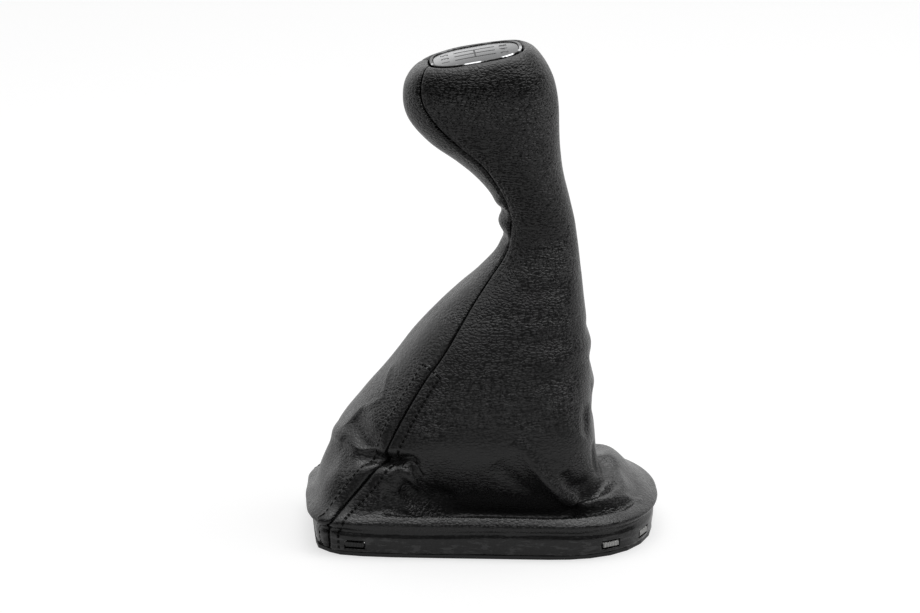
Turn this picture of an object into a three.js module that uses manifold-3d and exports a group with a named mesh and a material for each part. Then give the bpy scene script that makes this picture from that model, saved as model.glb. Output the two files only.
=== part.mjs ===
// A gear lever gaiter with its knob: one long leather sleeve, sewn from two panels, that covers a lever knob at the
// top, falls in folds round the lever and is fixed over a plastic snap-in frame at the bottom. Millimetres, +Z up.
// The origin is under the middle of the frame, on the face that lies on the console. The knob leans to the front, -X,
// and the seam that shows in a side view is the near one, at -Y.
import * as THREE from "three";
import { mergeVertices } from "three/addons/utils/BufferGeometryUtils.js";
import Module from "manifold-3d";

const wasm = await Module();
wasm.setup();

// Leather and running gaps
const leatherThickness = 1.3;
const pieceGap = 0.3; // between pieces that touch on the real object
const seamGap = 0.6; // between the two panels along a seam
const seamOpens = 0.6; // how much further it gapes below the knob
const seamOpensAt = 118;
const seamOpensOver = 16;
const seamDip = 0.9; // how far the panel edges turn in at a seam
const seamDipReach = 2.2;

// Snap-in frame, seen from above: a flat front end and a round back end
const frameFront = 76.2; // from the origin to the front end
const frameBack = 77.6; // from the origin to the back end
const frameHalfWidth = 52.6;
const frameCentre = 25; // where the flared sides pass into the round back end
const frameFrontSquareness = 8;
const frameBackSquareness = 2.25;
const frameTaper = 0.0022; // share by which the sides close in for each millimetre to the front
const frameHeight = 11;
const frameWall = 2.4;
const flangeThickness = 1.6;
const flangeWidth = 6.5;

// Spring clips in windows through the leather and the frame wall
const clipWidth = 8;
const clipHeight = 2.7;
const clipMiddle = 5.4; // height of the middle of a clip above the console
const clipStrip = 0.7; // thickness of the spring steel
const clipProud = 0.5; // how far a clip stands out of the leather
const clipLegReach = 2.6; // how far each leg runs up or down behind the wall
const clipSeatCut = 0.5; // depth of the flat seat that each clip's legs lie against, cut into the wall's inner face
const clipSeatDepth = 4;
const windowMargin = 0.7;
const clipAngles = { front: 149, back: 57, end: 33 }; // degrees from the back end, on both sides

// Leather round the frame's wall: it swells a little, creases over the wall's top edge and bulges over it
const wallSwell = 0.7;
const wallEdge = 1.6; // height over which it turns at the wall's top
const hemCrease = 0.3;
const bulgeRise = 4.2; // height of the bulge above the wall

// Heights of the sleeve
const neckHeight = 142;
const capHeight = 219.8; // the leather's highest ring, round the cap
const capSlope = 0.165; // rise of the cap for each millimetre to the back

// Knob core and stem
const stemX = 22;
const stemRadius = 9;
const leverBoreRadius = 6;
const stemBottom = 98;
const stemTop = 175;
const coreGap = 0.5; // between the core and the leather
const stemEndWall = 5; // material over the blind end of the lever bore
const stemSlotLength = 16;
const stemSlotWidth = 1.4;
const clampWidth = 8;
const clampThickness = 0.8;
const clampLift = 3.5; // from the stem's lower end to the clamp
const clampEarLength = 3.2;

// Cap on top of the knob
const capSink = 2.0; // how deep the leather's edge turns down round the cap
const bezelWidth = 1.3;
const bezelProud = 0.5;
const bezelEdge = 0.25; // bevel of its edges
const plateDome = 0.7;
const trayRim = 1.2; // height of the tray's rim above the core
const trayThickness = 2.2; // depth of the tray in the core
const trayLegLength = 4.5;
const trayLegWidth = 6;
const trayLegThickness = 1.8;
const trayLegSpacing = 24;

// Reinforcing tape behind the lower part of each seam
const tapeHalfWidth = 5.5;
const tapeThickness = 0.7;
const tapeGap = 1.1;
const tapeBottom = 17;
const tapeTop = 88;

// The skirt's profile round the frame, from the rolled edge to the foot of the body: how far its crest, the valley
// behind it, the second crest and the foot lie in from the frame's edge, and how high, at angles counted from the back
// end towards the far side. The near side is from 180 to 360 degrees, and the sharp changes near 210 are a pleat.
const SKIRT = [
  { angle: 0, bulge: 2.6, crestIn: 1.5, crest: 18, valleyIn: 8, valley: 22.5, secondIn: 17.5, second: 31,
    footIn: 26, foot: 31.5 },
  { angle: 35, bulge: 2.6, crestIn: 2, crest: 18, valleyIn: 6, valley: 20.5, secondIn: 13.5, second: 27.5,
    footIn: 21, foot: 27 },
  { angle: 65, bulge: 2.2, crestIn: 2, crest: 18, valleyIn: 7, valley: 17.5, secondIn: 12, second: 21.5,
    footIn: 17, foot: 22 },
  { angle: 90, bulge: 2.2, crestIn: 2, crest: 19, valleyIn: 8, valley: 15.5, secondIn: 15, second: 17.5,
    footIn: 13.5, foot: 28 },
  { angle: 120, bulge: 2, crestIn: 2.5, crest: 19, valleyIn: 8, valley: 16.5, secondIn: 14, second: 19,
    footIn: 13, foot: 29 },
  { angle: 148, bulge: 1, crestIn: 4, crest: 20, valleyIn: 8, valley: 25, secondIn: 12, second: 31,
    footIn: 15, foot: 37 },
  { angle: 165, bulge: 1.8, crestIn: 3.5, crest: 20, valleyIn: 6.5, valley: 28, secondIn: 10, second: 35,
    footIn: 13, foot: 40.5 },
  { angle: 180, bulge: 3.6, crestIn: 0, crest: 20, valleyIn: 2.8, valley: 28, secondIn: 5.5, second: 35,
    footIn: 8.5, foot: 41.5 },
  { angle: 194, bulge: 3.8, crestIn: 1, crest: 20, valleyIn: 4.5, valley: 28, secondIn: 9.5, second: 35.5,
    footIn: 13, foot: 41.5 },
  { angle: 202, bulge: 2.8, crestIn: 3.5, crest: 20.5, valleyIn: 8, valley: 28.5, secondIn: 11.5, second: 36.5,
    footIn: 16, foot: 41 },
  { angle: 205.5, bulge: 2.4, crestIn: 4.2, crest: 20.8, valleyIn: 8.8, valley: 29.5, secondIn: 11.8, second: 37.5,
    footIn: 17, foot: 41 },
  { angle: 208, bulge: 2.2, crestIn: 3.6, crest: 20.5, valleyIn: 8.3, valley: 29.5, secondIn: 11.5, second: 38,
    footIn: 16.5, foot: 41 },
  { angle: 210, bulge: 2.2, crestIn: 2.6, crest: 20, valleyIn: 6.8, valley: 28.5, secondIn: 10, second: 37.8,
    footIn: 15.5, foot: 41.5 },
  { angle: 212, bulge: 2.2, crestIn: 2.2, crest: 19.2, valleyIn: 6.8, valley: 25.5, secondIn: 8, second: 36.8,
    footIn: 14, foot: 42 },
  { angle: 214.2, bulge: 2.1, crestIn: 2.1, crest: 18.8, valleyIn: 8.6, valley: 20.5, secondIn: 8.2, second: 35.5,
    footIn: 13, foot: 42 },
  { angle: 216, bulge: 2, crestIn: 2, crest: 18.7, valleyIn: 9, valley: 15.5, secondIn: 12, second: 25.5,
    footIn: 13, foot: 37 },
  { angle: 218, bulge: 2, crestIn: 2, crest: 18.6, valleyIn: 9, valley: 13.3, secondIn: 18.5, second: 16.5,
    footIn: 14.5, foot: 31 },
  { angle: 222, bulge: 2, crestIn: 2, crest: 18.6, valleyIn: 9, valley: 13, secondIn: 21, second: 14.5,
    footIn: 15.5, foot: 27.5 },
  { angle: 240, bulge: 2, crestIn: 1.5, crest: 18.4, valleyIn: 9, valley: 12.5, secondIn: 21, second: 14,
    footIn: 14.5, foot: 27 },
  { angle: 270, bulge: 2, crestIn: 1.5, crest: 18.2, valleyIn: 9, valley: 12.5, secondIn: 20, second: 14,
    footIn: 14, foot: 27 },
  { angle: 290, bulge: 2.2, crestIn: 1.8, crest: 18.2, valleyIn: 8, valley: 13, secondIn: 17, second: 15,
    footIn: 15.5, foot: 24.5 },
  { angle: 300, bulge: 2.2, crestIn: 2, crest: 18.2, valleyIn: 6.5, valley: 13.5, secondIn: 12, second: 21.5,
    footIn: 17, foot: 20.5 },
  { angle: 312, bulge: 2.2, crestIn: 2.3, crest: 18, valleyIn: 5.8, valley: 16, secondIn: 10, second: 24,
    footIn: 17, foot: 21 },
  { angle: 328, bulge: 2.4, crestIn: 2.5, crest: 18, valleyIn: 5.8, valley: 18.5, secondIn: 10, second: 25,
    footIn: 19, foot: 26 },
  { angle: 345, bulge: 2.4, crestIn: 2, crest: 18, valleyIn: 7.5, valley: 20.5, secondIn: 15, second: 27.5,
    footIn: 24, foot: 29.5 },
];

// Sections of the sleeve over the lever. rise is the share of the way from the frame to the neck; front, back and
// centre are places along X; side is the half width; seam is the near seam's angle, in degrees.
const BODY = [
  { rise: 0.282, front: -64.0, back: 51.0, centre: 20.0, side: 42.0, square: 2.8, seam: 207.3 },
  { rise: 0.389, front: -53.5, back: 50.2, centre: 17.5, side: 40.5, square: 2.6, seam: 209.6 },
  { rise: 0.504, front: -41.0, back: 49.9, centre: 16.0, side: 37.0, square: 2.5, seam: 212.8 },
  { rise: 0.618, front: -29.5, back: 48.2, centre: 16.5, side: 32.0, square: 2.4, seam: 217.0 },
  { rise: 0.733, front: -15.5, back: 46.4, centre: 19.5, side: 26.5, square: 2.3, seam: 216.0 },
  { rise: 0.832, front: -1.5, back: 44.8, centre: 23.5, side: 21.5, square: 2.2, seam: 212.0 },
  { rise: 0.916, front: 8.0, back: 43.6, centre: 26.0, side: 18.0, square: 2.2, seam: 211.5 },
  { rise: 1.0, front: 9.4, back: 42.4, centre: 26.0, side: 17.0, square: 2.2, seam: 217.0 },
];

// Sections of the knob. rise is the share of the way from the neck to the cap; slope tips a section with the cap.
const KNOB = [
  { rise: 0.129, front: 6.8, back: 40.0, centre: 24.0, side: 18.0, square: 2.2, slope: 0.02, seam: 222.5 },
  { rise: 0.27, front: -0.5, back: 36.9, centre: 19.0, side: 20.0, square: 2.2, slope: 0.05, seam: 229.0 },
  { rise: 0.411, front: -11.5, back: 35.1, centre: 13.0, side: 22.3, square: 2.2, slope: 0.08, seam: 232.5 },
  { rise: 0.553, front: -24.6, back: 34.5, centre: 6.0, side: 24.2, square: 2.25, slope: 0.11, seam: 228.0 },
  { rise: 0.694, front: -32.6, back: 34.0, centre: 1.0, side: 25.2, square: 2.25, slope: 0.13, seam: 220.0 },
  { rise: 0.823, front: -34.9, back: 31.6, centre: -1.0, side: 24.8, square: 2.25, slope: 0.15, seam: 211.5 },
  { rise: 0.925, front: -33.3, back: 27.2, centre: -2.0, side: 22.4, square: 2.3, slope: 0.16, seam: 207.5 },
  { rise: 0.987, front: -28.6, back: 22.6, centre: -2.5, side: 19.3, square: 2.5, slope: capSlope, seam: 203.5 },
];
const CAP = { front: -24.2, back: 19.2, centre: -2.5, side: 17.0, square: 2.8, slope: capSlope, seam: 197.0 };
const capTuck = 1.0; // how far the leather closes in as it turns down round the cap
const skirtSeams = [205.5, 205.8, 205.6, 207.6, 206, 206.8, 208, 206.8]; // the near seam's angle on the skirt's rings
const skirtTop = frameHeight; // where the sections' rise starts

// Folds and gathers of the leather: ridges where height is positive and hollows where it is negative. Each follows a
// line of points on the sleeve and fades out over width to both sides.
const FOLDS = [
  {
    name: "ridge that sweeps from the side panel to the back corner",
    line: [[13, -42, 53], [20, -41, 42], [26, -41, 34], [32, -40, 27], [38, -39, 22], [46, -38, 20]],
    width: 3.8, height: 3,
  },
  {
    name: "hollow below the sweeping ridge",
    line: [[3, -42, 42], [12, -41, 32], [21, -40, 24], [30, -39, 18]],
    width: 4.5, height: -2,
  },
  {
    name: "pleat beside the seam",
    line: [[-52, -42, 22], [-44, -41, 29], [-38, -39.5, 35], [-31, -38, 38.5], [-28.5, -39, 34], [-28, -40, 29]],
    width: 2.8, height: 2.2,
  },
  { name: "pocket under the pleat", line: [[-39, -41, 26], [-35.5, -40, 31], [-32, -40, 30]], width: 3.2, height: -3.2 },
  { name: "hollow beside the seam", line: [[-59, -10, 56], [-56, -26, 50], [-49, -33, 44]], width: 6, height: -4 },
  { name: "dent in the front panel", line: [[-66, -16, 48], [-64, -24, 40], [-62, -30, 33]], width: 4, height: -1.6 },
  { name: "knuckle of the front panel", line: [[-67, 8, 46], [-66, -14, 47]], width: 5, height: 1.6 },
  {
    name: "dimple near the back edge",
    line: [[45, -26, 64], [45, -28, 57], [43, -31, 50]],
    width: 3.2, height: -1.8,
  },
  { name: "lower waist of the back edge", line: [[51, 6, 58], [50, -18, 56]], width: 3.5, height: -1.4 },
  { name: "upper waist of the back edge", line: [[50, 6, 79], [48, -16, 80]], width: 3.5, height: -1 },
  { name: "gather under the knob", line: [[8, 10, 154.5], [10, 0, 154.5], [8, -12, 154.5]], width: 2.8, height: 1.2 },
  { name: "crease under the knob", line: [[8, 12, 148], [10, 0, 149], [8, -14, 148]], width: 2.6, height: -1.6 },
  { name: "gather at the neck", line: [[11, 9, 143], [8, 0, 142.5], [11, -11, 143.5]], width: 3, height: 1.6 },
  { name: "crease at the neck", line: [[11, 8, 136], [8, 0, 136], [11, -10, 136]], width: 2.4, height: -1.5 },
  { name: "far fold of the side panel", line: [[20, 42, 52], [38, 34, 40], [50, 24, 30]], width: 5, height: -3 },
  { name: "far pleat", line: [[-48, 33, 44], [-36, 38, 34], [-20, 44, 26]], width: 4.5, height: 2.4 },
];

// Mesh of the sleeve
const sideColumns = 36;
const frontColumns = 10;
const columnCrowding = 0.36; // how much closer the side panel's columns stand at its seams
const rowSteps = [1, 1, 2, 2, 2, 2, 2, 3, 2, 2, 2, 2, 2, 2, 2, 2, 2, 2, 2, 2, 2, 2, 1, 1, 1];

const leatherMaterial = new THREE.MeshStandardMaterial({ color: 0x17181a, roughness: 0.55, metalness: 0 });
const tapeMaterial = new THREE.MeshStandardMaterial({ color: 0x222222, roughness: 0.9, metalness: 0 });
const frameMaterial = new THREE.MeshStandardMaterial({ color: 0x0f0f10, roughness: 0.45, metalness: 0 });
const coreMaterial = new THREE.MeshStandardMaterial({ color: 0x2a2b2d, roughness: 0.7, metalness: 0 });
const steelMaterial = new THREE.MeshStandardMaterial({ color: 0xb9bbbe, roughness: 0.35, metalness: 1 });
const chromeMaterial = new THREE.MeshStandardMaterial({ color: 0xd5d6d8, roughness: 0.12, metalness: 1 });
const plateMaterial = new THREE.MeshStandardMaterial({ color: 0xa4a6a8, roughness: 0.3, metalness: 0.9 });

const radians = (degrees) => (degrees * Math.PI) / 180;

// A point of a section at an angle from its centre. The section is round or squarish, with its own reach to each side.
function sectionPoint(angle, s) {
  const c = Math.cos(angle);
  const w = Math.sin(angle);
  const reach = c > 0 ? s.back - s.centre : s.centre - s.front;
  const power = c > 0 ? (s.squareBack ?? s.square) : s.square;
  const r = (Math.abs(c / reach) ** power + Math.abs(w / s.side) ** power) ** (-1 / power);
  const taper = 1 + (s.taper ?? 0) * Math.min(r * c, frameBack - frameCentre);
  return [s.centre + r * c, r * w * taper];
}

// The frame's outline, grown by a distance.
function frameSection(grow) {
  return {
    front: -frameFront - grow,
    back: frameBack + grow,
    centre: frameCentre,
    side: frameHalfWidth + grow,
    square: frameFrontSquareness,
    squareBack: frameBackSquareness,
    taper: frameTaper,
  };
}

// A value of the skirt's profile at an angle, on a smooth curve that closes on itself.
function skirtValue(angle, key) {
  const turn = ((((angle * 180) / Math.PI) % 360) + 360) % 360;
  const n = SKIRT.length;
  let i = n - 1;
  while (SKIRT[i].angle > turn) i--;
  const at = (k) => SKIRT[((k % n) + n) % n].angle + 360 * Math.floor(k / n);
  const value = (k) => SKIRT[((k % n) + n) % n][key];
  const span = at(i + 1) - at(i);
  const startSlope = ((value(i + 1) - value(i - 1)) / (at(i + 1) - at(i - 1))) * span;
  const endSlope = ((value(i + 2) - value(i)) / (at(i + 2) - at(i))) * span;
  return hermite(value(i), value(i + 1), startSlope, endSlope, (turn - at(i)) / span);
}

function hermite(a, b, slopeA, slopeB, t) {
  const t2 = t * t;
  const t3 = t2 * t;
  return (2 * t3 - 3 * t2 + 1) * a + (t3 - 2 * t2 + t) * slopeA + (3 * t2 - 2 * t3) * b + (t3 - t2) * slopeB;
}

// The heights of the upper sections, from the skirt to the cap and down into the groove round it.
const SECTIONS = [
  ...BODY.map((s) => ({ ...s, height: skirtTop + s.rise * (neckHeight - skirtTop), slope: 0 })),
  ...KNOB.map((s) => ({ ...s, height: neckHeight + s.rise * (capHeight - neckHeight) })),
  { ...CAP, height: capHeight },
  { ...capSection(capTuck), height: capHeight - capSink },
];

function capSection(inset) {
  return { ...CAP, front: CAP.front + inset, back: CAP.back - inset, side: CAP.side - inset };
}

// The sleeve's profile at an angle: the points that its curve passes through, from the hem to the cap.
function profile(angle) {
  const ring = (grow, z) => [...sectionPoint(angle, frameSection(grow)), z];
  const skirtRing = (name) => ring(-skirtValue(angle, `${name}In`), skirtValue(angle, name));
  return [
    ring(0, flangeThickness + pieceGap),
    ring(wallSwell, frameHeight - wallEdge),
    ring(wallSwell - hemCrease, frameHeight + wallEdge / 2),
    ring(skirtValue(angle, "bulge"), frameHeight + bulgeRise),
    skirtRing("crest"),
    skirtRing("valley"),
    skirtRing("second"),
    skirtRing("foot"),
    ...SECTIONS.map((s) => {
      const [x, y] = sectionPoint(angle, s);
      return [x, y, s.height + s.slope * (x - s.centre)];
    }),
  ];
}

// One knot for each profile point, spaced by the mean distance between them.
function profileKnots() {
  const around = Array.from({ length: 48 }, (_, k) => profile((k / 48) * 2 * Math.PI));
  const knots = [0];
  for (let i = 1; i < around[0].length; i++) {
    const mean = around.reduce((sum, p) => sum + distance(p[i], p[i - 1]), 0) / around.length;
    knots.push(knots[i - 1] + mean ** 0.75);
  }
  return knots;
}

function distance(a, b) {
  return Math.hypot(a[0] - b[0], a[1] - b[1], a[2] - b[2]);
}

const KNOTS = profileKnots();
const SEAM = [...skirtSeams, ...SECTIONS.map((s) => s.seam)];

// A smooth curve through values at the knots, at a place between knot i and the next.
function alongKnots(values, i, share) {
  const slope = (k) => {
    if (k === 0) return (values[1] - values[0]) / (KNOTS[1] - KNOTS[0]);
    const last = values.length - 1;
    if (k === last) return (values[last] - values[last - 1]) / (KNOTS[last] - KNOTS[last - 1]);
    const before = (values[k] - values[k - 1]) / (KNOTS[k] - KNOTS[k - 1]);
    const after = (values[k + 1] - values[k]) / (KNOTS[k + 1] - KNOTS[k]);
    const weight = (KNOTS[k] - KNOTS[k - 1]) / (KNOTS[k + 1] - KNOTS[k - 1]);
    return before * (1 - weight) + after * weight;
  };
  const span = KNOTS[i + 1] - KNOTS[i];
  return hermite(values[i], values[i + 1], slope(i) * span, slope(i + 1) * span, share);
}

// The rows of the mesh, each a knot and a share of the way to the next.
const ROWS = rowSteps.flatMap((steps, i) => Array.from({ length: steps }, (_, k) => ({ knot: i, share: k / steps })));
ROWS.push({ knot: KNOTS.length - 2, share: 1 });

// The columns of the mesh, as shares of the way from the back: the side panel from -1 to 1, then the front panel.
const sideShares = Array.from({ length: sideColumns + 1 }, (_, k) => {
  const s = (2 * k) / sideColumns - 1;
  return s * (1 + columnCrowding - columnCrowding * s * s);
});
const frontShares = Array.from({ length: frontColumns + 1 }, (_, k) => (2 * k) / frontColumns - 1);

// The sleeve's bare surface as rows of points, all the way round: the side panel's columns from the near seam past the
// back to the far seam, then the front panel's between the seams.
function bareSleeve() {
  return ROWS.map(({ knot, share }) => {
    const half = 2 * Math.PI - radians(alongKnots(SEAM, knot, share));
    const angles = [
      ...sideShares.map((s) => s * half),
      ...frontShares.slice(1, -1).map((s) => Math.PI + s * (Math.PI - half)),
    ];
    return angles.map((angle) => {
      const points = profile(angle);
      const at = (axis) => alongKnots(points.map((p) => p[axis]), knot, share);
      return new THREE.Vector3(at(0), at(1), at(2));
    });
  });
}

// The outward normal at each point of a grid that closes on itself sideways.
function gridNormals(grid) {
  const last = grid.length - 1;
  return grid.map((row, i) =>
    row.map((_, j) => {
      const n = row.length;
      const sideways = row[(j + 1) % n].clone().sub(row[(j + n - 1) % n]);
      const upwards = grid[Math.min(i + 1, last)][j].clone().sub(grid[Math.max(i - 1, 0)][j]);
      return sideways.cross(upwards).normalize();
    }),
  );
}

// How far a point is from a line of points, and the share of the way along it.
function nearLine(point, line) {
  let best = Infinity;
  let along = 0;
  line.slice(1).forEach((end, k) => {
    const segment = new THREE.Line3(line[k], end);
    const share = segment.closestPointToPointParameter(point, true);
    const away = segment.at(share, new THREE.Vector3()).distanceTo(point);
    if (away < best) {
      best = away;
      along = (k + share) / (line.length - 1);
    }
  });
  return { away: best, along };
}

// Raises or sinks the leather along a fold's line.
function fold(grid, { line, width, height }) {
  const points = line.map((p) => new THREE.Vector3(...p));
  const normals = gridNormals(grid);
  return grid.map((row, i) =>
    row.map((point, j) => {
      const { away, along } = nearLine(point, points);
      const fade = Math.sqrt(Math.sin(Math.PI * Math.min(Math.max(along, 0), 1)));
      return point.clone().addScaledVector(normals[i][j], height * fade * Math.exp(-((away / width) ** 2)));
    }),
  );
}

// Turns the leather in at both seams, but not round the cap.
function dipSeams(grid) {
  const normals = gridNormals(grid);
  const roundCap = KNOTS.length - 4;
  return grid.map((row, i) => {
    const depth = ROWS[i].knot < roundCap ? seamDip : 0;
    return row.map((point, j) => {
      const away = Math.min(point.distanceTo(row[0]), point.distanceTo(row[sideColumns]));
      const share = Math.max(0, 1 - away / seamDipReach);
      return point.clone().addScaledVector(normals[i][j], -depth * share * share);
    });
  });
}

const BARE = bareSleeve();
const SLEEVE = dipSeams(FOLDS.reduce(fold, BARE));
const SLEEVE_NORMALS = gridNormals(SLEEVE);

// A grid's points moved in along the normals.
function inset(grid, normals, depth) {
  return grid.map((row, i) => row.map((p, j) => p.clone().addScaledVector(normals[i][j], -depth)));
}

// A panel of leather from some of the sleeve's columns, with the two outer ones drawn in by half the seam's gap.
function panelSheet(columns) {
  const outer = SLEEVE.map((row) => columns.map((j) => row[j % row.length].clone()));
  const last = columns.length - 1;
  const gap = (edge) => seamGap + seamOpens * Math.exp(-(((edge.z - seamOpensAt) / seamOpensOver) ** 2));
  const drawIn = (edge, next) => edge.add(next.clone().sub(edge).setLength(gap(edge) / 2));
  outer.forEach((points) => {
    drawIn(points[0], points[1]);
    drawIn(points[last], points[last - 1]);
  });
  const normals = SLEEVE_NORMALS.map((row) => columns.map((j) => row[j % row.length]));
  return sheetGeometry(outer, inset(outer, normals, leatherThickness));
}

// A closed sheet between an outer and an inner grid of points.
function sheetGeometry(outer, inner) {
  const rows = outer.length;
  const columns = outer[0].length;
  const positions = [...outer.flat(), ...inner.flat()].flatMap((p) => [p.x, p.y, p.z]);
  const out = (i, j) => i * columns + j;
  const within = (i, j) => rows * columns + out(i, j);
  const index = [];
  const quad = (a, b, c, d) => index.push(a, b, c, a, c, d);
  for (let i = 0; i < rows - 1; i++) {
    for (let j = 0; j < columns - 1; j++) {
      quad(out(i, j), out(i, j + 1), out(i + 1, j + 1), out(i + 1, j));
      quad(within(i, j), within(i + 1, j), within(i + 1, j + 1), within(i, j + 1));
    }
    quad(out(i, 0), out(i + 1, 0), within(i + 1, 0), within(i, 0));
    quad(out(i, columns - 1), within(i, columns - 1), within(i + 1, columns - 1), out(i + 1, columns - 1));
  }
  for (let j = 0; j < columns - 1; j++) {
    quad(out(0, j), within(0, j), within(0, j + 1), out(0, j + 1));
    quad(out(rows - 1, j), out(rows - 1, j + 1), within(rows - 1, j + 1), within(rows - 1, j));
  }
  return indexedGeometry(positions, index);
}

// A closed body from rings of points, with flat ends.
function ringsGeometry(rings) {
  const n = rings[0].length;
  const centre = (ring) => ring.reduce((sum, p) => sum.add(p), new THREE.Vector3()).divideScalar(n);
  const points = [...rings.flat(), centre(rings[0]), centre(rings[rings.length - 1])];
  const bottom = rings.length * n;
  const top = bottom + 1;
  const index = [];
  for (let j = 0; j < n; j++) {
    const k = (j + 1) % n;
    for (let i = 0; i < rings.length - 1; i++) {
      const [a, b, c, d] = [i * n + j, i * n + k, (i + 1) * n + k, (i + 1) * n + j];
      index.push(a, b, c, a, c, d);
    }
    index.push(bottom, k, j, top, (rings.length - 1) * n + j, (rings.length - 1) * n + k);
  }
  return indexedGeometry(points.flatMap((p) => [p.x, p.y, p.z]), index);
}

function indexedGeometry(positions, index) {
  const geometry = new THREE.BufferGeometry();
  geometry.setAttribute("position", new THREE.Float32BufferAttribute(positions, 3));
  geometry.setIndex(index);
  return geometry;
}

// A three.js geometry as a solid for cutting and joining, and back.
function solidOf(geometry, matrix = new THREE.Matrix4()) {
  const bare = geometry.clone().applyMatrix4(matrix);
  bare.deleteAttribute("normal");
  bare.deleteAttribute("uv");
  const merged = mergeVertices(bare, 1e-4);
  return new wasm.Manifold(
    new wasm.Mesh({
      numProp: 3,
      vertProperties: new Float32Array(merged.attributes.position.array),
      triVerts: new Uint32Array(merged.index.array),
    }),
  );
}

function geometryOf(solid) {
  const { vertProperties, triVerts } = solid.getMesh();
  const geometry = new THREE.BufferGeometry();
  geometry.setAttribute("position", new THREE.Float32BufferAttribute(vertProperties, 3));
  geometry.setIndex(new THREE.BufferAttribute(triVerts, 1));
  geometry.computeVertexNormals();
  return geometry;
}

function namedMesh(name, geometry, material) {
  const mesh = new THREE.Mesh(geometry, material);
  mesh.name = name;
  return mesh;
}

function boxAt(width, depth, height, matrix) {
  return solidOf(new THREE.BoxGeometry(width, depth, height), matrix);
}

function cylinderAt(radius, bottom, top, x, segments = 32) {
  const upright = new THREE.Matrix4()
    .makeTranslation(x, 0, (bottom + top) / 2)
    .multiply(new THREE.Matrix4().makeRotationX(Math.PI / 2));
  return solidOf(new THREE.CylinderGeometry(radius, radius, top - bottom, segments), upright);
}

// A flat outline of a section as a list of points, evenly spread by angle.
function outlinePoints(section, count) {
  return Array.from({ length: count }, (_, k) => new THREE.Vector2(...sectionPoint((k / count) * 2 * Math.PI, section)));
}

// The outline of the leather's hem, seen from above, moved in by a distance.
function hemOutline(depth) {
  const hem = SLEEVE[0].map((p) => new THREE.Vector2(p.x, p.y));
  const n = hem.length;
  return hem.map((p, j) => {
    const along = hem[(j + 1) % n].clone().sub(hem[(j + n - 1) % n]).normalize();
    return new THREE.Vector2(p.x - along.y * depth, p.y + along.x * depth);
  });
}

// A ring between two depths behind the leather's hem, extruded upwards.
function ringSolid(outerDepth, innerDepth, bottom, top) {
  const shape = new THREE.Shape(hemOutline(outerDepth));
  shape.holes.push(new THREE.Path(hemOutline(innerDepth)));
  const geometry = new THREE.ExtrudeGeometry(shape, { depth: top - bottom, bevelEnabled: false });
  return solidOf(geometry, new THREE.Matrix4().makeTranslation(0, 0, bottom));
}

// The place of a clip: local X runs along the frame's edge, local Y points outwards, and local Y 0 is the leather's face.
function clipPlace(degrees) {
  const angle = radians(degrees);
  const step = 0.01;
  const [x, y] = sectionPoint(angle, frameSection(0));
  const [xa, ya] = sectionPoint(angle - step, frameSection(0));
  const [xb, yb] = sectionPoint(angle + step, frameSection(0));
  const along = new THREE.Vector3(xa - xb, ya - yb, 0).normalize();
  const outwards = new THREE.Vector3(-along.y, along.x, 0);
  const place = new THREE.Matrix4().makeBasis(along, outwards, new THREE.Vector3(0, 0, 1));
  return place.setPosition(x, y, clipMiddle);
}

const CLIPS = Object.entries(clipAngles).flatMap(([name, degrees]) => [
  { name: `spring_clip_${name}_near`, place: clipPlace(-degrees) },
  { name: `spring_clip_${name}_far`, place: clipPlace(degrees) },
]);
const wallOuter = leatherThickness + pieceGap; // depth of the frame wall's outer face behind the leather's face
const wallInner = wallOuter + frameWall;

// Cuts the clips' windows out of a solid.
function cutWindows(solid) {
  const width = clipWidth + 2 * windowMargin;
  const height = clipHeight + 2 * windowMargin;
  const depth = 2 * (wallInner + 2);
  return CLIPS.reduce((rest, clip) => rest.subtract(boxAt(width, depth, height, clip.place)), solid);
}

// The side panel: one piece of leather from seam to seam, round the back.
function sidePanel() {
  const columns = Array.from({ length: sideColumns + 1 }, (_, j) => j);
  return geometryOf(cutWindows(solidOf(panelSheet(columns))));
}

// The front panel: the gore between the two seams.
function frontPanel() {
  const columns = Array.from({ length: frontColumns + 1 }, (_, j) => sideColumns + j);
  return panelSheet(columns);
}

// A point and its normal in a row of the sleeve, at a distance from column seam, counted towards higher columns.
function besideSeam(points, normals, seam, offset) {
  const n = points.length;
  const step = Math.sign(offset);
  let j = seam;
  let left = Math.abs(offset);
  if (left === 0) return [points[j].clone(), normals[j].clone()];
  for (;;) {
    const k = (j + step + n) % n;
    const gap = points[j].distanceTo(points[k]);
    if (gap >= left) {
      const share = left / gap;
      return [points[j].clone().lerp(points[k], share), normals[j].clone().lerp(normals[k], share).normalize()];
    }
    left -= gap;
    j = k;
  }
}

// The tape that backs the lower part of a seam, following the leather's inner side.
function seamTape(seam) {
  const offsets = [-1, -0.5, 0, 0.5, 1].map((s) => s * tapeHalfWidth);
  const rows = SLEEVE.map((row, i) => i).filter((i) => {
    const height = SLEEVE[i][seam].z;
    return height > tapeBottom && height < tapeTop;
  });
  const layer = (depth) =>
    rows.map((i) =>
      offsets.map((offset) => {
        const [point, normal] = besideSeam(SLEEVE[i], SLEEVE_NORMALS[i], seam, offset);
        return point.addScaledVector(normal, -depth);
      }),
    );
  const face = leatherThickness + tapeGap;
  return sheetGeometry(layer(face), layer(face + tapeThickness));
}

// The cap's own frame: its plane is tipped with the cap, and its origin is the cap's centre.
const capTilt = Math.atan(capSlope);
const capStretch = Math.hypot(1, capSlope);
const capPlace = new THREE.Matrix4()
  .makeTranslation(CAP.centre, 0, capHeight)
  .multiply(new THREE.Matrix4().makeRotationY(-capTilt));

// An outline in the cap's plane, inside the leather's edge by a distance.
function capOutline(distanceIn) {
  const s = capSection(capTuck + distanceIn);
  return {
    front: (s.front - s.centre) * capStretch,
    back: (s.back - s.centre) * capStretch,
    centre: 0,
    side: s.side,
    square: s.square,
  };
}

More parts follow.
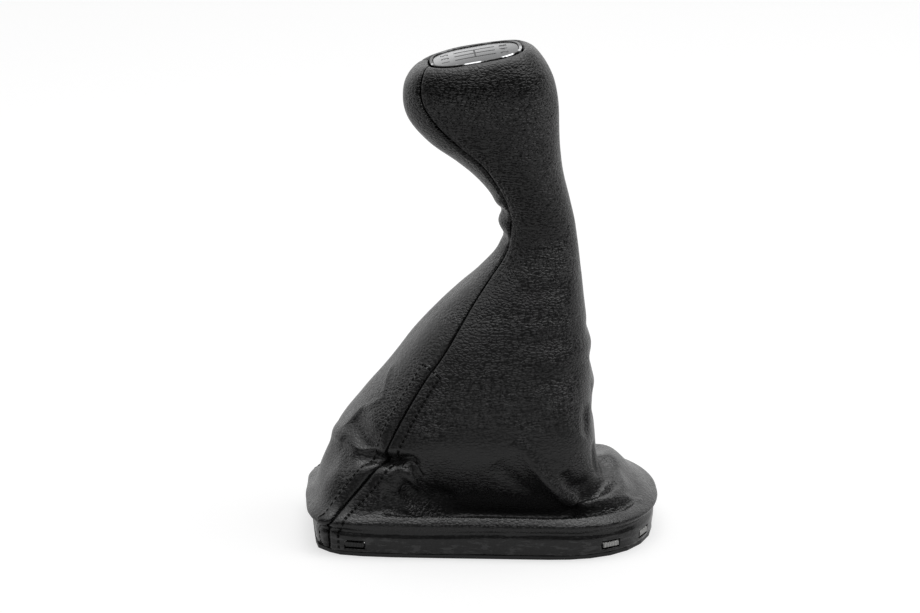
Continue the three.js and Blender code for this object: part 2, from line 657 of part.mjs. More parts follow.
const capBed = -capSink; // height of the tray's upper face in the cap's frame
const coreTop = capBed - trayRim - pieceGap;
const firstKnobRing = skirtSeams.length + BODY.length;
const coreRow = ROWS.findIndex(({ knot, share }) => knot === firstKnobRing && share > 0);

// The knob's core: a moulding that fills the leather, with a socket for the stem and a pocket for the cap's tray.
function knobCore() {
  const depth = leatherThickness + coreGap;
  const lastRing = SLEEVE.length - 1 - rowSteps[rowSteps.length - 1];
  const rings = inset(SLEEVE, SLEEVE_NORMALS, depth).slice(coreRow, lastRing + 1);
  const lid = boxAt(200, 200, 40, capPlace.clone().multiply(new THREE.Matrix4().makeTranslation(0, 0, coreTop + 20)));
  const pocketDepth = trayThickness + pieceGap;
  const pocket = capExtrusion(capOutline(0), coreTop - pocketDepth, coreTop + 1);
  const socket = cylinderAt(stemRadius + pieceGap, neckHeight - 20, stemTop + pieceGap, stemX);
  let core = solidOf(ringsGeometry(rings)).subtract(lid).subtract(pocket).subtract(socket);
  for (const side of [-1, 1]) core = core.subtract(trayLeg(side, pieceGap));
  return geometryOf(core);
}

// A solid in the cap's frame, with an outline of the cap and flat ends.
function capExtrusion(section, bottom, top) {
  const shape = new THREE.Shape(outlinePoints(section, 48));
  const geometry = new THREE.ExtrudeGeometry(shape, { depth: top - bottom, bevelEnabled: false });
  return solidOf(geometry, capPlace.clone().multiply(new THREE.Matrix4().makeTranslation(0, 0, bottom)));
}

// One of the tray's two snap legs, or with a margin the slot that it goes into.
function trayLeg(side, margin) {
  const bottom = coreTop - trayThickness - trayLegLength - margin;
  const top = coreTop - trayThickness / 2;
  const place = new THREE.Matrix4().makeTranslation((side * trayLegSpacing) / 2, 0, (bottom + top) / 2);
  return boxAt(
    trayLegThickness + 2 * margin,
    trayLegWidth + 2 * margin,
    top - bottom,
    capPlace.clone().multiply(place),
  );
}

// The black tray that carries the bezel and the plate.
function capTray() {
  const plate = capExtrusion(capOutline(pieceGap), coreTop - trayThickness, capBed - pieceGap);
  return geometryOf(plate.add(trayLeg(-1, 0)).add(trayLeg(1, 0)));
}

// The bright ring round the plate.
function capBezel() {
  const shape = new THREE.Shape(outlinePoints(capOutline(pieceGap + bezelEdge), 48));
  shape.holes.push(new THREE.Path(outlinePoints(capOutline(pieceGap + bezelWidth - bezelEdge), 48)));
  const geometry = new THREE.ExtrudeGeometry(shape, {
    depth: bezelProud - capBed - 2 * bezelEdge,
    bevelThickness: bezelEdge,
    bevelSize: bezelEdge,
    bevelSegments: 1,
  });
  const place = capPlace.clone().multiply(new THREE.Matrix4().makeTranslation(0, 0, capBed + bezelEdge));
  return geometryOf(solidOf(geometry, place));
}

// The plate: flat underneath and slightly domed on top.
function capPlate() {
  const outline = outlinePoints(capOutline(2 * pieceGap + bezelWidth), 48);
  const ring = (share, height) => outline.map((p) => new THREE.Vector3(p.x * share, p.y * share, height));
  const shares = [1, 0.8, 0.5, 0.2];
  const rings = [ring(1, capBed), ...shares.map((s) => ring(s, plateDome * (1 - s * s)))];
  return ringsGeometry(rings).applyMatrix4(capPlace);
}

// The plastic tube that takes the lever: a blind bore, and a slotted lower end for the clamp.
function stemTube() {
  const tube = cylinderAt(stemRadius, stemBottom, stemTop, stemX).subtract(
    cylinderAt(leverBoreRadius, stemBottom - 1, stemTop - stemEndWall, stemX),
  );
  const slot = (turn) =>
    boxAt(
      stemRadius * 3,
      stemSlotWidth,
      stemSlotLength * 2,
      new THREE.Matrix4().makeTranslation(stemX, 0, stemBottom).multiply(new THREE.Matrix4().makeRotationZ(turn)),
    );
  return geometryOf(tube.subtract(slot(Math.PI / 4)).subtract(slot(-Math.PI / 4)));
}

// The steel band that clamps the slotted end on the lever, with its crimped ear.
function stemClamp() {
  const inner = stemRadius + pieceGap;
  const outer = inner + clampThickness;
  const bottom = stemBottom + clampLift;
  const band = cylinderAt(outer, bottom, bottom + clampWidth, stemX).subtract(
    cylinderAt(inner, bottom - 1, bottom + clampWidth + 1, stemX),
  );
  const earPlace = new THREE.Matrix4().makeTranslation(
    stemX + inner + clampEarLength / 2,
    0,
    bottom + clampWidth / 2,
  );
  const ear = boxAt(clampEarLength, 2.6 * clampThickness + 1, clampWidth, earPlace);
  const hollow = boxAt(clampEarLength - 2 * clampThickness, 1, clampWidth + 2, earPlace);
  return geometryOf(band.add(ear).subtract(hollow));
}

// The snap-in frame: a wall behind the leather and a flange under its hem, with a window for each clip.
function baseFrame() {
  const wall = ringSolid(wallOuter, wallInner, flangeThickness / 2, frameHeight);
  const flange = ringSolid(0, flangeWidth, 0, flangeThickness);
  const seats = CLIPS.map((clip) => {
    const seat = new THREE.Matrix4().makeTranslation(0, -wallInner - clipSeatDepth / 2 + clipSeatCut, 0);
    const height = clipHeight + 2 * clipLegReach + 2 * pieceGap;
    return boxAt(clipWidth + 2 * pieceGap, clipSeatDepth, height, clip.place.clone().multiply(seat));
  });
  return geometryOf(seats.reduce((rest, seat) => rest.subtract(seat), cutWindows(wall).add(flange)));
}

// A spring clip: a steel strip bent to a hat, which stands through its window, with a leg up and a leg down behind.
function springClip(clip) {
  const back = clipSeatCut - wallInner - pieceGap;
  const half = clipHeight / 2;
  const t = clipStrip;
  const round = 0.4;
  const profilePoints = [
    [back, half + clipLegReach],
    [back, half],
    [clipProud - round, half],
    [clipProud, half - round],
    [clipProud, round - half],
    [clipProud - round, -half],
    [back, -half],
    [back, -half - clipLegReach / 2],
    [back - t, -half - clipLegReach / 2],
    [back - t, t - half],
    [clipProud - t, t - half],
    [clipProud - t, half - t],
    [back - t, half - t],
    [back - t, half + clipLegReach],
  ];
  const shape = new THREE.Shape(profilePoints.map(([y, z]) => new THREE.Vector2(y, z)));
  const geometry = new THREE.ExtrudeGeometry(shape, { depth: clipWidth, bevelEnabled: false });
  const turn = new THREE.Matrix4().makeBasis(
    new THREE.Vector3(0, 1, 0),
    new THREE.Vector3(0, 0, 1),
    new THREE.Vector3(1, 0, 0),
  );
  return geometry
    .applyMatrix4(turn)
    .translate(-clipWidth / 2, 0, 0)
    .applyMatrix4(clip.place);
}

const gaiter = new THREE.Group();
gaiter.add(
  namedMesh("side_panel", sidePanel(), leatherMaterial),
  namedMesh("front_panel", frontPanel(), leatherMaterial),
  namedMesh("seam_tape_near", seamTape(0), tapeMaterial),
  namedMesh("seam_tape_far", seamTape(sideColumns), tapeMaterial),
  namedMesh("knob_core", knobCore(), coreMaterial),
  namedMesh("cap_tray", capTray(), frameMaterial),
  namedMesh("cap_bezel", capBezel(), chromeMaterial),
  namedMesh("cap_plate", capPlate(), plateMaterial),
  namedMesh("stem_tube", stemTube(), frameMaterial),
  namedMesh("stem_clamp", stemClamp(), steelMaterial),
  namedMesh("base_frame", baseFrame(), frameMaterial),
  ...CLIPS.map((clip) => namedMesh(clip.name, springClip(clip), steelMaterial)),
);

export default gaiter;
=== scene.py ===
# A gear lever gaiter with its knob, dressed over its CAD frame: grained leather in two sewn panels with
# stitched seams, the cap with its bright ring, the snap-in frame and its clips, a white floor and the
# photograph's camera.
import math

import bmesh
import bpy
import numpy as np
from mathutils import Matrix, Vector, noise
from mathutils.bvhtree import BVHTree


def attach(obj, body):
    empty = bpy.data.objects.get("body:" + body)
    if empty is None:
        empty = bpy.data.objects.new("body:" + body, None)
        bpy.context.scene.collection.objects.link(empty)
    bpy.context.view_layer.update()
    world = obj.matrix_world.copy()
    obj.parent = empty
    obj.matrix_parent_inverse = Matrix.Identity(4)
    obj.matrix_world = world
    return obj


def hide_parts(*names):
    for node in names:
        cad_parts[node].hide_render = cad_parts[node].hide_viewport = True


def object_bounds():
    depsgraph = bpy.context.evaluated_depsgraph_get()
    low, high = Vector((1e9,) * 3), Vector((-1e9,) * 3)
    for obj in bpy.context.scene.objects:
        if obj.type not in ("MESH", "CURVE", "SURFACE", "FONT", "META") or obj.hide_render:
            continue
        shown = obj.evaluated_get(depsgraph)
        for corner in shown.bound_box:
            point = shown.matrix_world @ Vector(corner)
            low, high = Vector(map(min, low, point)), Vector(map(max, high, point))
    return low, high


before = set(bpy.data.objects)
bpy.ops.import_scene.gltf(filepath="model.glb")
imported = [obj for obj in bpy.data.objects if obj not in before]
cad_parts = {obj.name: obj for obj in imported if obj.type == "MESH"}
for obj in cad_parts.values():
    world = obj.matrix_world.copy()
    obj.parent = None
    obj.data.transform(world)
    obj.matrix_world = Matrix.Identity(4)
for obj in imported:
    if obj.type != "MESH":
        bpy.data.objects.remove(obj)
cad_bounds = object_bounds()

MM = 0.001
SEED = 11  # shifts the noise that the leather's unevenness is taken from

# The photograph's camera
CAMERA_AZIMUTH = -4.0
CAMERA_ELEVATION = 17.0
CAMERA_DISTANCE = 2.3
CAMERA_TARGET = Vector((-0.0095, 0.0, 0.103))
LENS_MM = 200.0
SENSOR_MM = 36.0
SEES_TO = 20.0  # metres


def make_camera():
    azimuth = math.radians(CAMERA_AZIMUTH)
    elevation = math.radians(CAMERA_ELEVATION)
    back = Vector(
        (
            math.sin(azimuth) * math.cos(elevation),
            -math.cos(azimuth) * math.cos(elevation),
            math.sin(elevation),
        )
    )
    data = bpy.data.cameras.new("camera")
    data.lens = LENS_MM
    data.sensor_width = SENSOR_MM
    data.clip_end = SEES_TO
    camera = bpy.data.objects.new("camera", data)
    camera.location = CAMERA_TARGET + back * CAMERA_DISTANCE
    camera.rotation_euler = (-back).to_track_quat("-Z", "Y").to_euler()
    bpy.context.collection.objects.link(camera)
    bpy.context.scene.camera = camera


make_camera()

# The sleeve's form, in millimetres, as in the source
LEATHER = 1.3  # the leather's thickness
SEAM_GAP = 0.6  # between the panels' edges, on the outside
SEAM_OPENS = 0.6  # under the knob the seam gapes by this much more
SEAM_OPENS_AT = 118.0  # round this height
SEAM_OPENS_OVER = 16.0  # and this far up and down
KNOB_GAP = 0.5  # on the knob the edges stand further apart by this much
KNOB_GAP_FROM = 145.0
KNOB_GAP_TO = 165.0
FRAME_FRONT = 76.2
FRAME_BACK = 77.6
FRAME_HALF = 52.6
FRAME_CENTRE = 25.0
FRAME_SQUARE_FRONT = 8.0  # a high power gives square corners, and 2 an ellipse
FRAME_SQUARE_BACK = 2.25
FRAME_TAPER = 0.0022  # how much the frame widens with each millimetre to the back
FRAME_HEIGHT = 11.0
HEM = 1.9  # height of the hem's lower edge
NECK_HEIGHT = 142.0
BODY_HEIGHT = NECK_HEIGHT - FRAME_HEIGHT
CAP_HEIGHT = 219.8
CAP_SLOPE = 0.165
CAP_SINK = 2.0  # round the cap the leather turns down by this much
CAP_TUCK = 1.0  # and in by this much

# the rings from the hem to the skirt's bulge: how far outside the frame, and how far from its top
WALL_OUT = 0.7
WALL_UP = -1.6
EDGE_OUT = 0.4
EDGE_UP = 0.8
BULGE_UP = 4.2

# the near seam's angle on the skirt's rings
SKIRT_SEAM = [205.5, 205.8, 205.6, 207.6, 206.0, 206.8, 208.0, 206.8]

# angle, bulge, then inset and height of the rolled crest, the valley, the second crest and the body's foot
SKIRT = np.array(
    [
        (0, 2.6, 1.5, 18.0, 8.0, 22.5, 17.5, 31.0, 26.0, 31.5),
        (35, 2.6, 2.0, 18.0, 6.0, 20.5, 13.5, 27.5, 21.0, 27.0),
        (65, 2.2, 2.0, 18.0, 7.0, 17.5, 12.0, 21.5, 17.0, 22.0),
        (90, 2.2, 2.0, 19.0, 8.0, 15.5, 15.0, 17.5, 13.5, 28.0),
        (120, 2.0, 2.5, 19.0, 8.0, 16.5, 14.0, 19.0, 13.0, 29.0),
        (148, 1.0, 4.0, 20.0, 8.0, 25.0, 12.0, 31.0, 15.0, 37.0),
        (165, 1.8, 3.5, 20.0, 6.5, 28.0, 10.0, 35.0, 13.0, 40.5),
        (180, 3.6, 0.0, 20.0, 2.8, 28.0, 5.5, 35.0, 8.5, 41.5),
        (194, 3.8, 1.0, 20.0, 4.5, 28.0, 9.5, 35.5, 13.0, 41.5),
        (202, 2.8, 3.5, 20.5, 8.0, 28.5, 11.5, 36.5, 16.0, 41.0),
        (205.5, 2.4, 4.2, 20.8, 8.8, 29.5, 11.8, 37.5, 17.0, 41.0),
        (208, 2.2, 3.6, 20.5, 8.3, 29.5, 11.5, 38.0, 16.5, 41.0),
        (210, 2.2, 2.6, 20.0, 6.8, 28.5, 10.0, 37.8, 15.5, 41.5),
        (212, 2.2, 2.2, 19.2, 6.8, 25.5, 8.0, 36.8, 14.0, 42.0),
        (214.2, 2.1, 2.1, 18.8, 8.6, 20.5, 8.2, 35.5, 13.0, 42.0),
        (216, 2.0, 2.0, 18.7, 9.0, 15.5, 12.0, 25.5, 13.0, 37.0),
        (218, 2.0, 2.0, 18.6, 9.0, 13.3, 18.5, 16.5, 14.5, 31.0),
        (222, 2.0, 2.0, 18.6, 9.0, 13.0, 21.0, 14.5, 15.5, 27.5),
        (240, 2.0, 1.5, 18.4, 9.0, 12.5, 21.0, 14.0, 14.5, 27.0),
        (270, 2.0, 1.5, 18.2, 9.0, 12.5, 20.0, 14.0, 14.0, 27.0),
        (290, 2.2, 1.8, 18.2, 8.0, 13.0, 17.0, 15.0, 15.5, 24.5),
        (300, 2.2, 2.0, 18.2, 6.5, 13.5, 12.0, 21.5, 17.0, 20.5),
        (312, 2.2, 2.3, 18.0, 5.8, 16.0, 10.0, 24.0, 17.0, 21.0),
        (328, 2.4, 2.5, 18.0, 5.8, 18.5, 10.0, 25.0, 19.0, 26.0),
        (345, 2.4, 2.0, 18.0, 7.5, 20.5, 15.0, 27.5, 24.0, 29.5),
    ]
)

# height, front, back, centre, half width, squareness, slope, seam angle
SECTIONS = [
    (FRAME_HEIGHT + 0.282 * BODY_HEIGHT, -64.0, 51.0, 20.0, 42.0, 2.8, 0.0, 207.3),
    (FRAME_HEIGHT + 0.389 * BODY_HEIGHT, -53.5, 50.2, 17.5, 40.5, 2.6, 0.0, 209.6),
    (FRAME_HEIGHT + 0.504 * BODY_HEIGHT, -41.0, 49.9, 16.0, 37.0, 2.5, 0.0, 212.8),
    (FRAME_HEIGHT + 0.618 * BODY_HEIGHT, -29.5, 48.2, 16.5, 32.0, 2.4, 0.0, 217.0),
    (FRAME_HEIGHT + 0.733 * BODY_HEIGHT, -15.5, 46.4, 19.5, 26.5, 2.3, 0.0, 216.0),
    (FRAME_HEIGHT + 0.832 * BODY_HEIGHT, -1.5, 44.8, 23.5, 21.5, 2.2, 0.0, 212.0),
    (FRAME_HEIGHT + 0.916 * BODY_HEIGHT, 8.0, 43.6, 26.0, 18.0, 2.2, 0.0, 211.5),
    (NECK_HEIGHT, 9.4, 42.4, 26.0, 17.0, 2.2, 0.0, 217.0),
    (152.0, 6.8, 40.0, 24.0, 18.0, 2.2, 0.02, 222.5),
    (163.0, -0.5, 36.9, 19.0, 20.0, 2.2, 0.05, 229.0),
    (174.0, -11.5, 35.1, 13.0, 22.3, 2.2, 0.08, 232.5),
    (185.0, -24.6, 34.5, 6.0, 24.2, 2.25, 0.11, 228.0),
    (196.0, -32.6, 34.0, 1.0, 25.2, 2.25, 0.13, 220.0),
    (206.0, -34.9, 31.6, -1.0, 24.8, 2.25, 0.15, 211.5),
    (214.0, -33.3, 27.2, -2.0, 22.4, 2.3, 0.16, 207.5),
    (218.8, -28.6, 22.6, -2.5, 19.3, 2.5, CAP_SLOPE, 203.5),
    (CAP_HEIGHT, -24.2, 19.2, -2.5, 17.0, 2.8, CAP_SLOPE, 197.0),
    (CAP_HEIGHT - CAP_SINK, -24.2 + CAP_TUCK, 19.2 - CAP_TUCK, -2.5, 17.0 - CAP_TUCK, 2.8,
     CAP_SLOPE, 197.0),
]

# Folds: points on the leather, the width, and the height, which is negative for a hollow
FOLDS = [
    ([(13, -42, 53), (20, -41, 42), (26, -41, 34), (32, -40, 27), (38, -39, 22), (46, -38, 20)], 3.8, 3.0),
    ([(3, -42, 42), (12, -41, 32), (21, -40, 24), (30, -39, 18)], 4.5, -2.0),
    ([(-52, -42, 22), (-44, -41, 29), (-38, -39.5, 35), (-31, -38, 38.5), (-28.5, -39, 34),
      (-28, -40, 29)], 2.8, 2.2),
    ([(-39, -41, 26), (-35.5, -40, 31), (-32, -40, 30)], 3.2, -3.2),
    ([(-59, -10, 56), (-56, -26, 50), (-49, -33, 44)], 6.0, -4.0),
    ([(-66, -16, 48), (-64, -24, 40), (-62, -30, 33)], 4.0, -1.6),
    ([(-67, 8, 46), (-66, -14, 47)], 5.0, 1.6),
    ([(45, -26, 64), (45, -28, 57), (43, -31, 50)], 3.2, -1.8),
    ([(51, 6, 58), (50, -18, 56)], 3.5, -1.4),
    ([(50, 6, 79), (48, -16, 80)], 3.5, -1.0),
    ([(8, 10, 154.5), (10, 0, 154.5), (8, -12, 154.5)], 2.8, 1.2),
    ([(8, 12, 148), (10, 0, 149), (8, -14, 148)], 2.6, -1.6),
    ([(11, 9, 143), (8, 0, 142.5), (11, -11, 143.5)], 3.0, 1.6),
    ([(11, 8, 136), (8, 0, 136), (11, -10, 136)], 2.4, -1.5),
    ([(20, 42, 52), (38, 34, 40), (50, 24, 30)], 5.0, -3.0),
    ([(-48, 33, 44), (-36, 38, 34), (-20, 44, 26)], 4.5, 2.4),
]
# Finer folds that only the leather's dress has
FINE_FOLDS = [
    ([(-40, -5, 78), (-45, -15, 72), (-47, -20, 68), (-51, -17, 64), (-57, -9, 59)], 1.6, 1.5),
    ([(4, -41, 60), (14, -42, 58.5), (28, -41, 55)], 2.2, 0.6),
    ([(20, -44, 41.5), (27, -43, 32), (32.5, -39.5, 24.5), (38, -36.5, 20.5), (45, -39, 21),
      (53, -37.5, 22.5), (64, -29, 20.5), (71, -25, 18)], 1.7, 1.7),
    ([(34, -41, 36), (39, -37, 28), (46, -30, 27)], 3.0, -2.2),
    ([(50, -25, 46), (51, -24, 37), (52, -23, 29)], 2.6, -2.2),
    ([(-55, -39.5, 21.5), (-49, -39, 25), (-42, -38.5, 31), (-36, -37.5, 36.5), (-31, -36, 39.5),
      (-28.5, -35, 36), (-28.5, -35, 30)], 2.0, 2.8),
    ([(-43, -38, 24), (-37, -37, 29), (-33, -35.5, 31)], 2.8, -3.6),
    ([(-36, -37, 24), (-29, -36, 25), (-22, -35, 23), (-14, -34, 21)], 4.5, -5.0),
    ([(14, -27, 117), (26, -27, 117.5), (40, -20, 118)], 4.0, -1.0),
    ([(6, -30, 110), (16, -30, 112), (28, -30, 110.5), (42, -22, 111)], 3.5, 0.9),
    ([(8, -33, 102.5), (20, -33, 102), (34, -31, 102.5), (44, -22, 103.5)], 2.0, 0.7),
    ([(10, -34, 96.5), (24, -34.5, 96), (38, -30, 97), (47, -20, 98)], 4.0, -1.1),
    ([(18, -36.5, 88), (32, -35, 88.5), (44, -28, 89.5), (50, -12, 88), (50, 8, 87.5)], 3.5, 1.1),
    ([(20, -38, 78), (34, -36, 79), (46, -27, 80)], 3.5, -0.8),
    ([(49.5, 8, 95), (48.5, -14, 95.5)], 2.6, -0.7),
    ([(51, 8, 69), (50, -16, 68.5)], 3.5, 0.9),
    ([(16, -20, 136), (28, -19, 137), (38, -14, 138)], 3.5, -0.8),
]

# the narrow crest of the near roll: from one angle to another
CREST_FROM = 213
CREST_TO = 318
CREST_STEP = 3
CREST_RING = 4
CREST_WIDTH = 1.3
CREST_LIFT = 0.9


def hermite(a, b, slope_a, slope_b, t):
    """A smooth curve from a to b with the given slopes at its ends, at share t of the way."""
    t2 = t * t
    t3 = t2 * t
    from_a = (2 * t3 - 3 * t2 + 1) * a + (t3 - 2 * t2 + t) * slope_a
    return from_a + (3 * t2 - 2 * t3) * b + (t3 - t2) * slope_b


def outline(angle, front, back, centre, side, square_front, square_back, taper=0.0):
    """A closed outline round a centre, with its own reach and squareness to the front and to the back."""
    c = np.cos(angle)
    w = np.sin(angle)
    reach = np.where(c > 0, back - centre, centre - front)
    power = np.where(c > 0, square_back, square_front)
    r = (np.abs(c / reach) ** power + np.abs(w / side) ** power) ** (-1 / power)
    widen = 1 + taper * np.minimum(r * c, FRAME_BACK - FRAME_CENTRE)
    return centre + r * c, r * w * widen


def frame_outline(angle, grow):
    """The frame's outline, grown by a distance."""
    return outline(
        angle,
        -FRAME_FRONT - grow,
        FRAME_BACK + grow,
        FRAME_CENTRE,
        FRAME_HALF + grow,
        FRAME_SQUARE_FRONT,
        FRAME_SQUARE_BACK,
        FRAME_TAPER,
    )


def skirt(angle, column):
    """A column of the skirt's table at each angle, on a smooth curve that closes on itself."""
    turn = np.degrees(angle) % 360
    at = SKIRT[:, 0]
    value = SKIRT[:, column]
    n = len(at)
    i = np.searchsorted(at, turn, side="right") - 1

    def place(k):
        return at[k % n] + 360 * (k // n)

    span = place(i + 1) - place(i)
    slope_a = (value[(i + 1) % n] - value[(i - 1) % n]) / (place(i + 1) - place(i - 1)) * span
    slope_b = (value[(i + 2) % n] - value[i % n]) / (place(i + 2) - place(i)) * span
    return hermite(value[i % n], value[(i + 1) % n], slope_a, slope_b, (turn - place(i)) / span)


SKIRT_RINGS = 8


def ring(k, angle):
    """Control ring k of the sleeve at each angle, as points."""
    if k == 0:
        x, y = frame_outline(angle, 0)
        z = HEM
    elif k == 1:
        x, y = frame_outline(angle, WALL_OUT)
        z = FRAME_HEIGHT + WALL_UP
    elif k == 2:
        x, y = frame_outline(angle, EDGE_OUT)
        z = FRAME_HEIGHT + EDGE_UP
    elif k == 3:
        x, y = frame_outline(angle, skirt(angle, 1))
        z = FRAME_HEIGHT + BULGE_UP
    elif k < SKIRT_RINGS:
        x, y = frame_outline(angle, -skirt(angle, 2 * k - 6))
        z = skirt(angle, 2 * k - 5)
    else:
        height, front, back, centre, side, square, slope, _ = SECTIONS[k - SKIRT_RINGS]
        x, y = outline(angle, front, back, centre, side, square, square)
        z = height + slope * (x - centre)
    return np.stack([x, y, np.broadcast_to(z, x.shape)], axis=-1)


RINGS = SKIRT_RINGS + len(SECTIONS)
KNOT_ANGLES = 48
KNOT_POWER = 0.75  # under 1, close rings pull less on the curve between wide ones


def sleeve_knots():
    """A knot for each ring, further on where the next ring is further away."""
    around = np.linspace(0, 2 * math.pi, KNOT_ANGLES, endpoint=False)
    rings = np.array([ring(k, around) for k in range(RINGS)])
    gaps = np.linalg.norm(np.diff(rings, axis=0), axis=-1).mean(axis=1)
    return np.concatenate([[0], np.cumsum(gaps**KNOT_POWER)])


KNOTS = sleeve_knots()
SEAM = np.array(SKIRT_SEAM + [s[7] for s in SECTIONS])


def along(values, t):
    """A smooth curve at place t through the knots' values: a list, or a function of a knot's number."""
    value = values if callable(values) else (lambda k: values[k])
    i = min(int(np.searchsorted(KNOTS, t, side="right")) - 1, RINGS - 2)

    def slope(k):
        if k == 0:
            return (value(1) - value(0)) / (KNOTS[1] - KNOTS[0])
        if k == RINGS - 1:
            return (value(k) - value(k - 1)) / (KNOTS[k] - KNOTS[k - 1])
        before = (value(k) - value(k - 1)) / (KNOTS[k] - KNOTS[k - 1])
        after = (value(k + 1) - value(k)) / (KNOTS[k + 1] - KNOTS[k])
        weight = (KNOTS[k] - KNOTS[k - 1]) / (KNOTS[k + 1] - KNOTS[k - 1])
        return before * (1 - weight) + after * weight

    span = KNOTS[i + 1] - KNOTS[i]
    return hermite(value(i), value(i + 1), slope(i) * span, slope(i + 1) * span, (t - KNOTS[i]) / span)


# The sleeve's grid: rows from the hem to the cap, columns all the way round
ROW_COUNT = 300
SIDE_COLUMNS = 260
FRONT_COLUMNS = 76
PROFILE_STEPS = 600
PROFILE_ANGLES = 24


def row_places():
    """Places of the rows along the knots, so that they lie evenly over the leather."""
    fine = np.linspace(0, KNOTS[-1], PROFILE_STEPS)
    around = np.linspace(0, 2 * math.pi, PROFILE_ANGLES, endpoint=False)
    lines = np.array([along(lambda k: ring(k, around), t) for t in fine])
    steps = np.linalg.norm(np.diff(lines, axis=0), axis=-1).mean(axis=1)
    length = np.concatenate([[0], np.cumsum(steps)])
    return np.interp(np.linspace(0, length[-1], ROW_COUNT), length, fine)


def bare_sleeve(rows):
    """The sleeve's grid before its folds: the side panel's columns, and then the front panel's."""
    side = np.linspace(-1, 1, SIDE_COLUMNS + 1)
    front = np.linspace(-1, 1, FRONT_COLUMNS + 1)[1:-1]
    grid = []
    for t in rows:
        half = 2 * math.pi - math.radians(along(SEAM, t))
        angles = np.concatenate([side * half, math.pi + front * (math.pi - half)])
        grid.append(along(lambda k: ring(k, angles), t))
    return np.array(grid)


def grid_normals(grid):
    sideways = np.roll(grid, -1, axis=1) - np.roll(grid, 1, axis=1)
    upwards = np.gradient(grid, axis=0)
    normals = np.cross(sideways, upwards)
    return normals / np.maximum(np.linalg.norm(normals, axis=-1, keepdims=True), 1e-9)


def near_line(points, line):
    """Distance of each point from a line of points, and the share of the way along it."""
    line = np.array(line, float)
    best = np.full(points.shape[:-1], 1e9)
    share = np.zeros(points.shape[:-1])
    for k in range(len(line) - 1):
        a, b = line[k], line[k + 1]
        d = b - a
        t = np.clip(((points - a) @ d) / (d @ d), 0, 1)
        away = np.linalg.norm(points - (a + t[..., None] * d), axis=-1)
        closer = away < best
        best = np.where(closer, away, best)
        share = np.where(closer, (k + t) / (len(line) - 1), share)
    return best, share


def fold(grid, line, width, height):
    """Raises the leather along a line, or sinks it where the height is negative."""
    away, share = near_line(grid, line)
    fade = np.sqrt(np.clip(np.sin(np.pi * share), 0, 1))
    lift = height * fade * np.exp(-((away / width) ** 2))
    return grid + grid_normals(grid) * lift[..., None]


rows = row_places()
sleeve = bare_sleeve(rows)
near_crest = ring(CREST_RING, np.radians(np.arange(CREST_FROM, CREST_TO, CREST_STEP)))
for line, width, height in FOLDS + FINE_FOLDS + [(near_crest, CREST_WIDTH, CREST_LIFT)]:
    sleeve = fold(sleeve, line, width, height)

# Soft unevenness of worn leather: frequency per millimetre, height in millimetres
UNEVEN = [(0.045, 0.35), (0.09, 0.16)]


def unevenness(grid):
    flat = grid.reshape(-1, 3)
    lift = np.zeros(len(flat))
    for frequency, height in UNEVEN:
        lift += [height * noise.noise(Vector(p) * frequency + Vector((SEED, 0, 0))) for p in flat]
    return lift.reshape(grid.shape[:2])


sleeve = sleeve + grid_normals(sleeve) * unevenness(sleeve)[..., None]

# At the front the hem was cut by hand, and its edge wanders up
RAGGED = 2.6
RAGGED_LEAST = 0.3
RAGGED_WAVES = 0.35  # frequency per millimetre
RAGGED_TO = 8.0  # height
RAGGED_FROM_X = -70.0
RAGGED_FADE = 4.0
jagged = [abs(noise.noise(Vector((p[1] * RAGGED_WAVES, SEED, 0)))) + RAGGED_LEAST for p in sleeve[0]]
low = np.clip((RAGGED_TO - sleeve[..., 2]) / (RAGGED_TO - HEM), 0, 1)
forward = np.clip((RAGGED_FROM_X - sleeve[..., 0]) / RAGGED_FADE, 0, 1)
sleeve[..., 2] += RAGGED * np.array(jagged) * low * forward

# Sewing places on the leather: the distance from the nearer seam, and the length along it from the hem
SEW_COLUMNS = 44  # columns on each side of a seam that can lie under its stitches
FAR_AWAY = 99.0


def seam_run(column):
    """The length along a seam's column, from the hem up."""
    steps = np.linalg.norm(np.diff(sleeve[:, column], axis=0), axis=-1)
    return np.concatenate([[0], np.cumsum(steps)])


def sewing_map():
    across = np.full(sleeve.shape[:2], FAR_AWAY)
    along_seam = np.zeros(sleeve.shape[:2])
    for column in (0, SIDE_COLUMNS):
        line = sleeve[:, column]
        run = seam_run(column)
        tangent = np.gradient(line, axis=0)
        tangent /= np.linalg.norm(tangent, axis=-1, keepdims=True)
        columns = [(column + k) % sleeve.shape[1] for k in range(-SEW_COLUMNS, SEW_COLUMNS + 1)]
        points = sleeve[:, columns]
        for i in range(len(rows)):
            away = np.linalg.norm(points[i][:, None] - line[None], axis=-1)
            nearest = away.argmin(axis=1)
            ahead = ((points[i] - line[nearest]) * tangent[nearest]).sum(axis=-1)
            across[i, columns] = np.sqrt(np.maximum(away.min(axis=1) ** 2 - ahead**2, 0))
            along_seam[i, columns] = run[nearest] + ahead
    return across, along_seam


sew_across, sew_along = sewing_map()
TAPE_HALF = 5.5  # where the topstitching runs beside the seam
TAPE_TOP = 81.5  # height of its closing row
TAPE_RUN = float(np.interp(TAPE_TOP, sleeve[:, 0, 2], seam_run(0)))


def step_up(values, low, high):
    """0 below low, 1 above high, and smooth between."""
    t = np.clip((values - low) / (high - low), 0, 1)
    return t * t * (3 - 2 * t)


# The seams turn in, and more on the knob than on the body
BODY_DIP = 0.9
KNOB_DIP = 1.4
KNOB_FROM = 150
KNOB_TO = 170
SEAM_REACH = 1.8
below_cap = 1 - step_up(rows, KNOTS[-4], KNOTS[-2])[:, None]
knob_share = step_up(sleeve[..., 2], KNOB_FROM, KNOB_TO)
seam_dip = BODY_DIP + (KNOB_DIP - BODY_DIP) * knob_share
dip = np.clip(1 - sew_across / SEAM_REACH, 0, 1) ** 2 * seam_dip * below_cap

